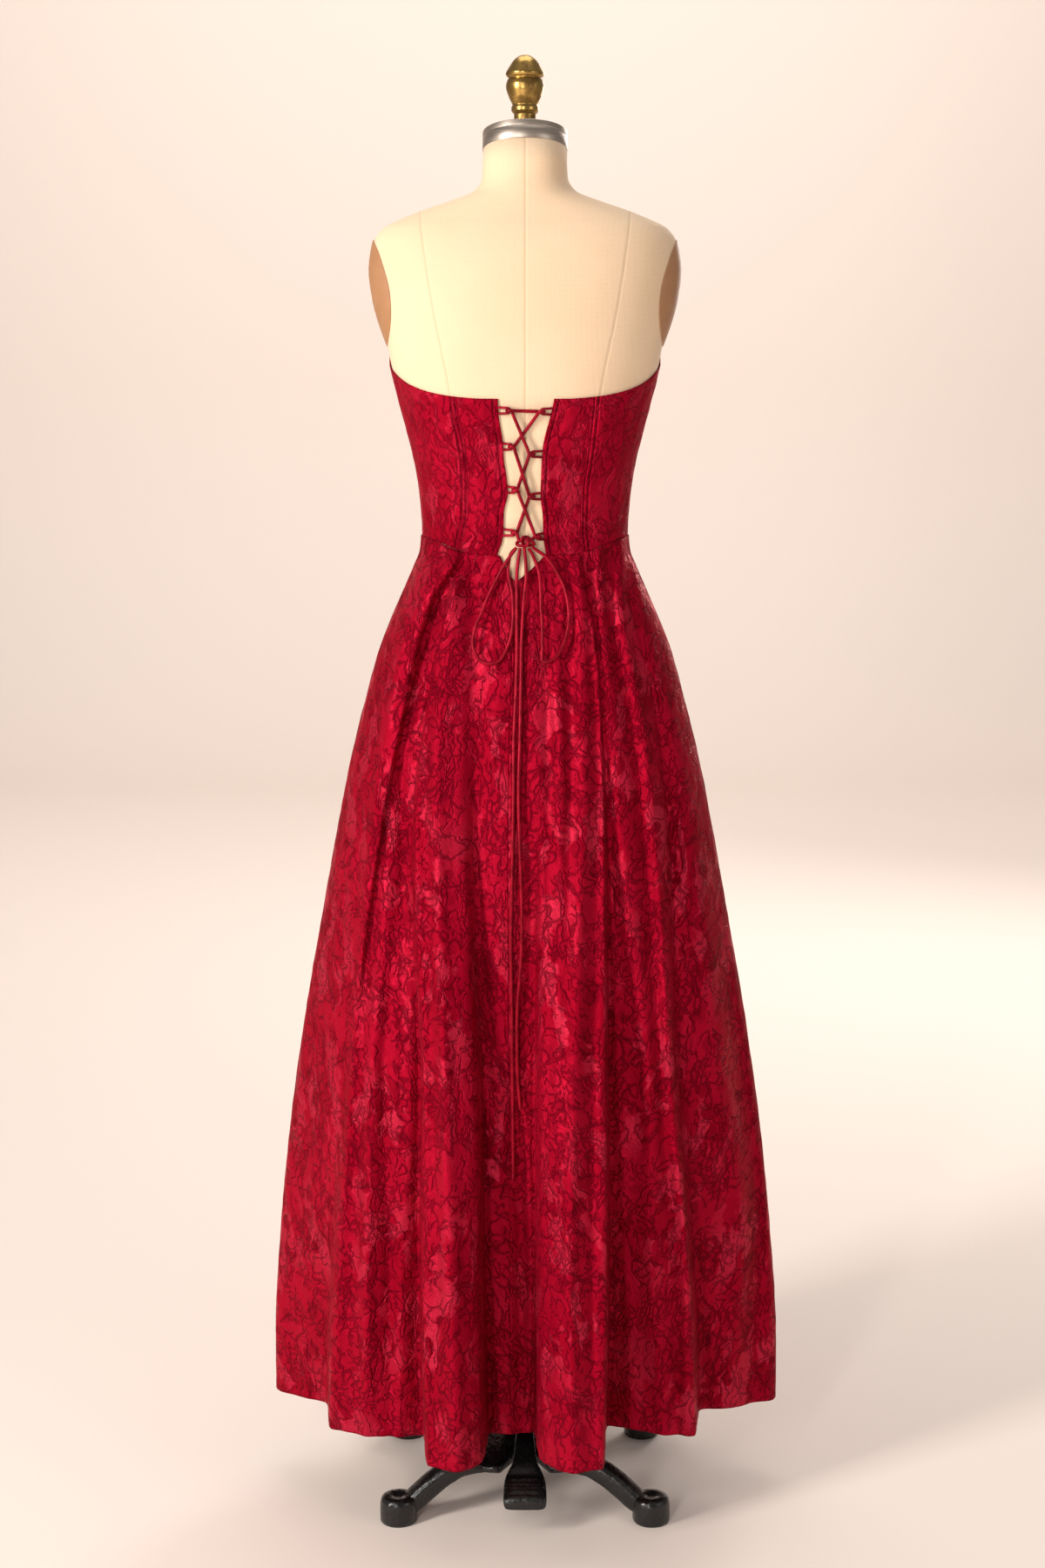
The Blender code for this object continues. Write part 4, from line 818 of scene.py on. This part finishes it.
# Soft ridges and troughs between the main folds, in mm: x at each height, rise at each height,
# minus for a trough, and half width, or the half widths towards the middle and towards the side
CREASE_LEVELS = np.array([0.110, 0.340, 0.550, 0.755, 0.950, 1.120])
BACK_CREASES = {
    "edge_ridge_left": ((-238, -224, -208, -193, -170, -139), (3, 4, 4, 4, 4, 2), 7),
    "ridge_left_outer": ((-196, -191, -185, -169, -155, -129), (8, 8, 6, 4, 1, 0), 10),
    "trough_left": ((-166, -164, -168, -153, -144, -122), (-6, -6, -5, -3, -1, 0), 8),
    "ridge_left_inner": ((-147, -145, -138, -134, -128, -114), (6, 7, 6, 2, 0, 0), 10),
    "lobe_ridge_left": ((-80, -88, -93, -101, -103, -84), (4, 5, 6, 5, 6, 5), 11),
    "lobe_shoulder_left": ((-107, -106, -109, -113, -119, -101), (-3, -3, -3, -2, -2, -2), 7),
    "valley_left": ((-41, -41, -49, -55, -61, -57), (0, 0, -3, -6, -6, -5), 11),
    "tuck_left": ((-6, -6, -3, 3, -4, -6), (-3, -4, 0, -2, -4, -3), 8),
    "small_ridge": ((6, 8, 3, 7, 7, 9), (3, 5, 1, 0, 0, 0), 7),
    "tuck_middle": ((28, 26, 26, 28, 26, 22), (-2, -2, -3, -3, -5, -3), 8),
    "ridge_middle": ((39, 38, 38, 43, 41, 32), (1, 1, 1, 2, 3, 0), 7),
    "tuck_right": ((54, 48, 48, 50, 53, 53), (0, 0, 0, -2, -5, -4), 8),
    "lobe_ridge_right": ((59, 52, 57, 63, 68, 62), (5, 6, 6, 6, 4, 1), 10),
    "lobe_shoulder_right": ((79, 80, 79, 82, 83, 75), (-4, -4, -4, -3, -3, -4), 7),
    "ridge_side": ((172, 154, 150, 125, 106, 89), (6, 7, 7, 7, 5, 3), 12),
    "tuck_side": ((188, 183, 163, 151, 130, 100), (-5, -5, -4, -5, -5, -4), 8),
    "ridge_side_outer": ((200, 194, 173, 160, 143, 115), (2, 3, 4, 5, 4, 3), 8),
    "soft_valley": ((223, 211, 191, 177, 162, 123), (0, 0, -3, -6, -6, -3), 10),
    "ridge_far": ((256, 270, 237, 214, 190, 137), (6, 8, 8, 6, 3, 2), 18),
    "valley_far": ((293, 292, 268, 235, 200, 148), (-8, -9, -8, -5, -3, -2), 13),
}
# The same for the pleats that start at the waist seam
PLEAT_LEVELS = np.array([0.955, 1.040, 1.085, 1.115, 1.143, 1.168, 1.186])
BACK_PLEATS = {
    "flap_left": ((-152.7, -139.4, -127.2, -118.1, -105.8, -90.6, -76.3),
                  (2, 6, 10, 13, 13, 10, 5), (4, 30)),
    "under_flap_left": ((-145, -131, -119, -110, -98, -83, -69),
                        (-2, -6, -12, -14, -13, -9, -5), 8),
    "beside_flap_left": ((-128, -115, -104, -96, -84, -72, -58), (1, 3, 5, 6, 5, 3, 1), 8),
    "tuck_by_opening_left": ((-52, -50, -47, -45, -43, -41, -40), (0, 0, -1, -3, -4, -3, -2), 5),
    "flap_right": ((90, 85, 80, 76.4, 70.3, 66, 62.2), (0, 2, 5, 7, 7, 6, 3), (20, 4)),
    "under_flap_right": ((97, 92, 87, 83, 77, 73, 69), (0, -1, -3, -5, -5, -4, -2), 6),
    "pleat_side": ((118, 108, 104, 101, 99, 100, 102), (0, 0, -1, -2, -4, -4, -2), 5),
    "tuck_by_opening_right": ((40, 40, 38, 37, 36, 35, 34), (0, 0, -1, -2, -3, -3, -2), 5),
}


def long_creases(places, levels, table, side, strength):
    """How far the long soft creases stand out, each a bell shape across its line; side -1 mirrors
    them from left to right."""
    height = np.clip(places[..., 2], levels[0], levels[-1])
    total = np.zeros(height.shape)
    for line, rises, half_width in table.values():
        off = side * places[..., 0] - through(levels, np.array(line) / 1000, height)
        rise = through(levels, np.array(rises, float), height) / 1000
        inner, outer = np.broadcast_to(half_width, 2) / 1000
        total += rise * np.exp(-(off / np.where(off * np.sign(line[0]) > 0, outer, inner)) ** 2)
    return total * strength


def skirt_top(angle):
    """Height of the skirt's upper edge: the waist seam, dropping to a point below the lacing."""
    degrees = np.abs(np.degrees(angle))
    degrees = np.where(degrees > 180, 360 - degrees, degrees)
    top = measures(WAIST_EDGE, degrees)[0] - SEAM / 2
    x, _ = oval(angle, *measures(SKIRT_ROWS, top))
    corner = np.where(x < CENTRE_SEAM_X, NOTCH_LEFT, NOTCH_RIGHT)
    share = np.clip((x - CENTRE_SEAM_X) / (corner - CENTRE_SEAM_X), 0, 1)
    return np.where(np.cos(angle) > 0, NOTCH_BOTTOM + (top - NOTCH_BOTTOM) * share, top)


def skirt_side(table, columns, rows, forwards):
    """Outer face of half the skirt. Between neighbouring fold lines the angle and the sink ease
    from one to the other, and down the cloth they ease from level to level; a fold sinks forwards
    (+1) behind and backwards (-1) in front."""
    lines = np.array(list(table.values()), float)
    lines[:, 4:] /= 1000
    at = np.linspace(0, len(lines) - 1, columns)[:, None]
    lines = through(np.arange(len(lines)), lines, at)
    top = skirt_top(np.radians(lines[:, 0]))
    height = top + (HEM_HEIGHT - top) * np.linspace(0, 1, rows)[:, None]
    angle = np.radians(through(FOLD_LEVELS, lines[:, 3::-1].T, height))
    sunk = np.concatenate([lines[:, :3:-1], 0 * lines[:, :1]], axis=1)
    sink = through(FOLD_LEVELS, sunk.T, height)
    x, y = oval(angle, *measures(SKIRT_ROWS, height))
    return np.stack([x, y + forwards * sink, height], axis=-1)


def kept_off_form(places, behind, gap):
    """The grid with each point that lies nearer to the form than the gap moved out along y."""
    half_width, back, front = (size + gap for size in measures(FORM_ROWS, places[..., 2]))
    share = np.clip(np.abs(places[..., 0]) / half_width, 0, 1)
    reach = (back if behind else front) * (1 - share ** SQUARENESS) ** (1 / SQUARENESS)
    over_form = (share < 1) & (places[..., 2] > FORM_ROWS[0, 0])
    kept = places.copy()
    depth = np.abs(places[..., 1])
    kept[..., 1] = np.where(over_form, np.maximum(depth, reach), depth) * (-1 if behind else 1)
    return np.where(over_form[..., None], kept, places)


def side_ease(places):
    """From 0 at the side seams to 1 a little way in, so that back and front meet."""
    return np.clip((measures(SKIRT_ROWS, places[..., 2])[0] - np.abs(places[..., 0])) / 0.012, 0, 1)


SKIRT_AIR = 0.0021
SKIRT_STEPS, SKIRT_DOWN = 15, 250
HEM_FADE, WAIST_FADE, EDGE_FADE = 0.25, 0.010, 0.015
back = skirt_side(BACK_FOLDS, (len(BACK_FOLDS) - 1) * SKIRT_STEPS + 1, SKIRT_DOWN, 1)
front = skirt_side(FRONT_FOLDS, (len(FRONT_FOLDS) - 1) * SKIRT_STEPS + 1, SKIRT_DOWN, -1)
centre_back = SKIRT_STEPS * list(BACK_FOLDS).index("centre")
centre_front = SKIRT_STEPS * list(FRONT_FOLDS).index("front_centre")
SKIRT_PANELS = (
    ("back_left", back[:, :centre_back + 1]),
    ("back_right", back[:, centre_back:]),
    ("front_right", front[:, :centre_front + 1]),
    ("front_left", front[:, centre_front:]),
)
skirt_cloth = jacquard("crimson_jacquard_skirt", boldness=0.85)
for number, (name, places) in enumerate(SKIRT_PANELS):
    behind = "back" in name
    places = places.copy()
    across, down = laid_flat(places, places.shape[1] // 2)
    for edge, beside in ((0, 1), (-1, -2)):
        pull = places[:, beside] - places[:, edge]
        pull /= np.maximum(np.linalg.norm(pull, axis=-1, keepdims=True), 1e-9)
        places[:, edge] += pull * SEAM / 2
    sides = np.minimum(np.abs(across - across[:, :1]), np.abs(across[:, -1:] - across))
    edge = np.minimum(sides, -down)
    ease = np.clip(edge / EDGE_FADE, 0, 1)
    # The front's creases are the back's, mirrored and weaker
    side, long_strength, pleat_strength = (1, 1.3, 1.0) if behind else (-1, 1.1, 0.85)
    crease = long_creases(places, CREASE_LEVELS, BACK_CREASES, side, long_strength)
    crease *= np.clip(0.5 + (places[..., 2] - HEM_HEIGHT) / HEM_FADE, 0, 1)
    crease += long_creases(places, PLEAT_LEVELS, BACK_PLEATS, side, pleat_strength)
    top_ease = np.clip(-down / WAIST_FADE, 0, 1)
    places[..., 1] += (-1 if behind else 1) * crease * top_ease * side_ease(places)
    places = kept_off_form(places, behind, SKIRT_AIR)
    relief = puckers(across, down, 0.020, 60 + number) * 0.0005
    places = places + outward(places) * (relief * ease)[..., None]
    piece = cloth_piece(f"skirt_{name}", places, skirt_cloth, across + 2.1 * number, down)
    cloth_pieces.append((piece, *laid_flat(places, places.shape[1] // 2), "gathered"))


# Lacing. A round satin cord is laced through eight sewn cord loops on the edges of the opening and
# tied at the waist in a bow with two long tails, all hanging down the back of the skirt.
LACE = 0.0041
LOOP_CORD = 0.0030
satin_cord, shader = finish("crimson_satin_cord", 0.34, metallic=0.25, Sheen_Weight=0.05,
                            Sheen_Tint=(1.0, 0.15, 0.22, 1.0), Specular_Tint=(1.0, 0.20, 0.28, 1.0))
spot = own_place(shader)
colour = tint(between(noise(spot, 60.0, 2.0), 0.35, 0.65),
              (0.170, 0.0012, 0.0075), (0.300, 0.0034, 0.0160))
join(shader, colour, bump=(noise(spot, 380.0, 3.0), 0.35, 0.0006))


def smooth_line(points, steps):
    """Line through all the points, with steps pieces between neighbours: cubics whose slopes are
    taken from the points on either side."""
    points = np.asarray(points, float)
    padded = np.concatenate([2 * points[:1] - points[1:2], points, 2 * points[-1:] - points[-2:-1]])
    t = (np.arange(steps) / steps)[None, :, None]
    p0, p1, p2, p3 = (padded[i:len(points) - 1 + i, None, :] for i in range(4))
    run = 0.5 * (2 * p1 + (p2 - p0) * t + (2 * p0 - 5 * p1 + 4 * p2 - p3) * t ** 2
                 + (3 * p1 - p0 - 3 * p2 + p3) * t ** 3)
    return np.concatenate([run.reshape(-1, 3), points[-1:]])


def cord_piece(name, line, thickness, stands_for=None, closed=False):
    """Round satin cord along a line."""
    curve = bpy.data.curves.new(name, "CURVE")
    curve.dimensions = "3D"
    curve.bevel_depth = thickness / 2
    curve.bevel_resolution = 5
    curve.use_fill_caps = True
    spline = curve.splines.new("POLY")
    spline.points.add(len(line) - 1)
    places = np.column_stack([line, np.ones(len(line))])
    spline.points.foreach_set("co", places.astype(np.float32).ravel())
    spline.use_cyclic_u = closed
    spline.use_smooth = True
    curve.materials.append(satin_cord)
    return add_piece(name, curve, "form", stands_for)


def lace_piece(name, line, stands_for):
    """Stretch of the lace along a line."""
    piece = cord_piece(name, line, LACE, stands_for)


# x, y and height along each, in tenths of a millimetre
BOW_LEFT = [
    (-100, -906, 11972), (-223, -904, 11801), (-328, -914, 11616), (-424, -938, 11426),
    (-505, -976, 11229), (-587, -1022, 11033), (-610, -1072, 10823), (-502, -1118, 10647),
    (-312, -1120, 10659), (-202, -1086, 10838), (-151, -1041, 11043), (-141, -990, 11256),
    (-156, -939, 11468), (-199, -895, 11676), (-173, -855, 11881), (-104, -860, 11962)]
BOW_RIGHT = [
    (85, -886, 11974), (251, -876, 11854), (368, -888, 11687), (457, -921, 11502),
    (505, -967, 11303), (509, -1021, 11099), (466, -1086, 10899), (367, -1144, 10721),
    (212, -1154, 10659), (201, -1098, 10864), (201, -1045, 11069), (187, -991, 11273),
    (181, -941, 11478), (162, -900, 11682), (94, -875, 11874), (42, -886, 11962)]
TAIL_LEFT = [
    (-58, -886, 11966), (-96, -911, 11677), (-98, -962, 11383), (-98, -1031, 11089),
    (-97, -1104, 10794), (-103, -1174, 10500), (-113, -1241, 10206), (-127, -1294, 9912),
    (-135, -1340, 9618), (-135, -1378, 9324), (-137, -1408, 9030), (-142, -1430, 8736),
    (-148, -1445, 8442), (-154, -1455, 8147), (-161, -1460, 7853), (-167, -1462, 7559),
    (-168, -1463, 7265), (-164, -1464, 6971), (-159, -1464, 6677), (-156, -1464, 6382),
    (-154, -1464, 6088), (-151, -1464, 5794), (-149, -1464, 5500), (-147, -1464, 5206),
    (-145, -1464, 4911), (-143, -1464, 4617), (-142, -1464, 4470)]
TAIL_RIGHT = [
    (-8, -886, 11966), (15, -910, 11675), (-12, -962, 11381), (-33, -1033, 11086),
    (-44, -1106, 10791), (-48, -1177, 10495), (-53, -1244, 10200), (-58, -1298, 9905),
    (-65, -1345, 9609), (-75, -1382, 9314), (-77, -1412, 9019), (-69, -1434, 8723),
    (-59, -1449, 8428), (-50, -1459, 8133), (-42, -1463, 7838), (-40, -1465, 7542),
    (-45, -1465, 7247), (-62, -1465, 6952), (-87, -1465, 6658), (-96, -1465, 6362),
    (-95, -1465, 6067), (-91, -1465, 5772), (-69, -1465, 5477), (-56, -1465, 5330)]
for name, route, far_end in (("bow_left", BOW_LEFT, "object"), ("bow_right", BOW_RIGHT, "object"),
                             ("tail_left", TAIL_LEFT, "bare"), ("tail_right", TAIL_RIGHT, "bare")):
    lace_piece(f"lace_{name}", smooth_line(np.array(route) / 10000, 6), name)

LOOPS = {  # side and number: height of the middle, x of the tip
    "left_1": (1.3555, -0.0171), "left_2": (1.3140, -0.0145), "left_3": (1.2640, -0.0105),
    "left_4": (1.2140, -0.0112), "right_1": (1.3545, 0.0181), "right_2": (1.3055, 0.0065),
    "right_3": (1.2565, 0.0065), "right_4": (1.2095, 0.0135),
}
LOOP_LIFT = 0.0068


def off_back(x, height, lift):
    """Point at x and height, lifted off the back of the form."""
    half_width, back, _ = (float(size) for size in measures(FORM_ROWS, height))
    share = min(1.0, abs(x) / half_width)
    return np.array([x, -back * (1 - share ** SQUARENESS) ** (1 / SQUARENESS) - lift, height])


for name, (height, tip) in LOOPS.items():
    side = name.split("_")[0]
    sign = 1.0 if side == "left" else -1.0
    shape = [(0.0, 0.0036, 0.0018), (0.35, 0.0033, 0.0046), (0.72, 0.0031, 0.0068),
             (0.92, 0.0023, 0.0068), (1.0, 0.0, 0.0068)]
    shape += [(share, -up, lift) for share, up, lift in shape[-2::-1]]
    points = []
    for share, up, lift in shape:
        start = float(measures(OPENING[side], height + up)[0]) + sign * 0.0004
        points.append(off_back(start + (tip - start) * share, height + up, lift))
    cord_piece(f"button_loop_{name}", smooth_line(points, 5), LOOP_CORD, f"loop_{name}")


def loop_turn(name, sign):
    """The lace's turn through a loop: over its tip, down the eye and back under the tip."""
    height, tip = LOOPS[name]
    round_it = (LOOP_CORD + LACE) / 2 + 0.0004
    turns = ((0.0012, round_it), (-round_it * 0.72, round_it * 0.72), (-round_it, 0.0),
             (-round_it * 0.72, -round_it * 0.72), (0.0012, -round_it))
    return [off_back(tip + sign * beyond, height, LOOP_LIFT + lift) for beyond, lift in turns]


def lift_of(point):
    """How far a point lies off the back of the form."""
    return float(off_back(point[0], point[2], 0.0)[1] - point[1])


LACING = (  # loop, side it points to, how far the run up to it lies off the form at the crossing
    ("left_4", 1, 0.0), ("right_3", -1, 0.0031), ("left_2", 1, 0.0072), ("right_1", -1, 0.0031),
    ("left_1", 1, 0.0060), ("right_2", -1, 0.0072), ("left_3", 1, 0.0031), ("right_4", -1, 0.0072))
points = [off_back(-0.0070, 1.2050, 0.0108)]
for name, sign, lift in LACING:
    bend = loop_turn(name, sign)
    if len(points) > 1:
        a, b = points[-1], bend[0]
        for share, weight in ((0.15, 0.6), (0.35, 1.0), (0.5, 1.0), (0.65, 1.0), (0.85, 0.6)):
            middle = a + (b - a) * share
            straight = lift_of(a) + (lift_of(b) - lift_of(a)) * share
            points.append(off_back(middle[0], middle[2], straight + (lift - straight) * weight))
    points += bend
points += [off_back(0.0092, 1.2072, 0.0032), off_back(0.0062, 1.2040, 0.0030)]
lace_piece("lace_through_loops", smooth_line(points, 4), "lace")

t = full_turn(96)
knot_middle = off_back(0.0004, 1.2035, 0.0108)
knot = knot_middle + np.stack([0.0112 * (np.sin(t) + 2 * np.sin(2 * t)) / 3,
                               -0.0030 * np.sin(3 * t),
                               -0.0060 * (np.cos(t) - 2 * np.cos(2 * t)) / 3], axis=1)
cord_piece("lace_knot_turns", knot, LACE * 0.94, "lace_knot", closed=True)
wrap = knot_middle + np.stack([0.0016 * np.sin(t) + 0.0030 * np.cos(t) ** 2, -0.0054 * np.cos(t),
                               0.0050 * np.sin(t) - 0.0012], axis=1)
cord_piece("lace_knot_wrap", wrap, LACE * 0.90, closed=True)


# Cloth panels. Each panel's greatest width in metres, measured flat.
for piece, across, down, held in cloth_pieces:
    widths = across[:, -1] - across[:, 0]
    wide = float(widths.max())


# Studio. A plain pale floor that curves up behind, lit by large soft lights on both sides of the
# camera and from above. One light is for the backdrop, and one for the front of the dress.
floor_paint, shader = finish("pale_floor", 0.7)
shader.inputs["Base Color"].default_value = (0.86, 0.76, 0.69, 1.0)
sweep = np.linspace(0, math.pi / 2, 12)
forwards = np.concatenate([[-8.0], 5.4 + 1.4 * np.sin(sweep), [6.8]])[:, None]
rise = np.concatenate([[0.0], 1.4 - 1.4 * np.cos(sweep), [7.0]])[:, None]
places = np.stack(np.broadcast_arrays(np.linspace(8.0, -8.0, 3), forwards, rise), axis=-1)
add_object("studio_floor", grid_mesh("studio_floor", places, floor_paint)[0])

world = bpy.data.worlds.new("studio")
world.use_nodes = True
background = world.node_tree.nodes["Background"].inputs
background[0].default_value = (1.0, 0.93, 0.89, 1.0)
background[1].default_value = 0.27
bpy.context.scene.world = world
bpy.context.scene.view_settings.view_transform = "Standard"
for name, place, aim, wide, tall, power, colour in (
        ("key_light", (-2.70, -2.10, 1.90), (0, 0, 1.00), 0.6, 2.4, 126.0, (1.0, 0.95, 0.90)),
        ("strip_light", (-1.00, -3.40, 1.45), (0, 0, 0.75), 0.25, 2.2, 45.0, (1.0, 0.96, 0.93)),
        ("side_light", (2.6, -2.0, 1.6), (0, 0, 0.8), 1.2, 1.6, 15.0, (1.0, 0.95, 0.92)),
        ("top_light", (0.0, 0.6, 3.6), (0, 0, 1.2), 1.8, 1.8, 26.0, (1.0, 0.97, 0.95)),
        ("backdrop_light", (0.0, 2.6, 4.6), (0, 6.8, 1.9), 5.0, 1.2, 190.0, (1.0, 0.95, 0.91)),
        ("front_light", (1.6, 3.2, 2.2), (0, 0, 1.0), 1.2, 1.6, 40.0, (1.0, 0.96, 0.93))):
    lamp = bpy.data.lights.new(name, "AREA")
    lamp.shape = "RECTANGLE"
    lamp.size = wide
    lamp.size_y = tall
    lamp.energy = power
    lamp.color = colour
    light = add_object(name, lamp)
    light.location = place
    way = np.array(aim) - np.array(place)
    level = math.hypot(way[0], way[1])
    light.rotation_euler = (math.atan2(level, -way[2]), 0.0, math.atan2(-way[0], way[1]))
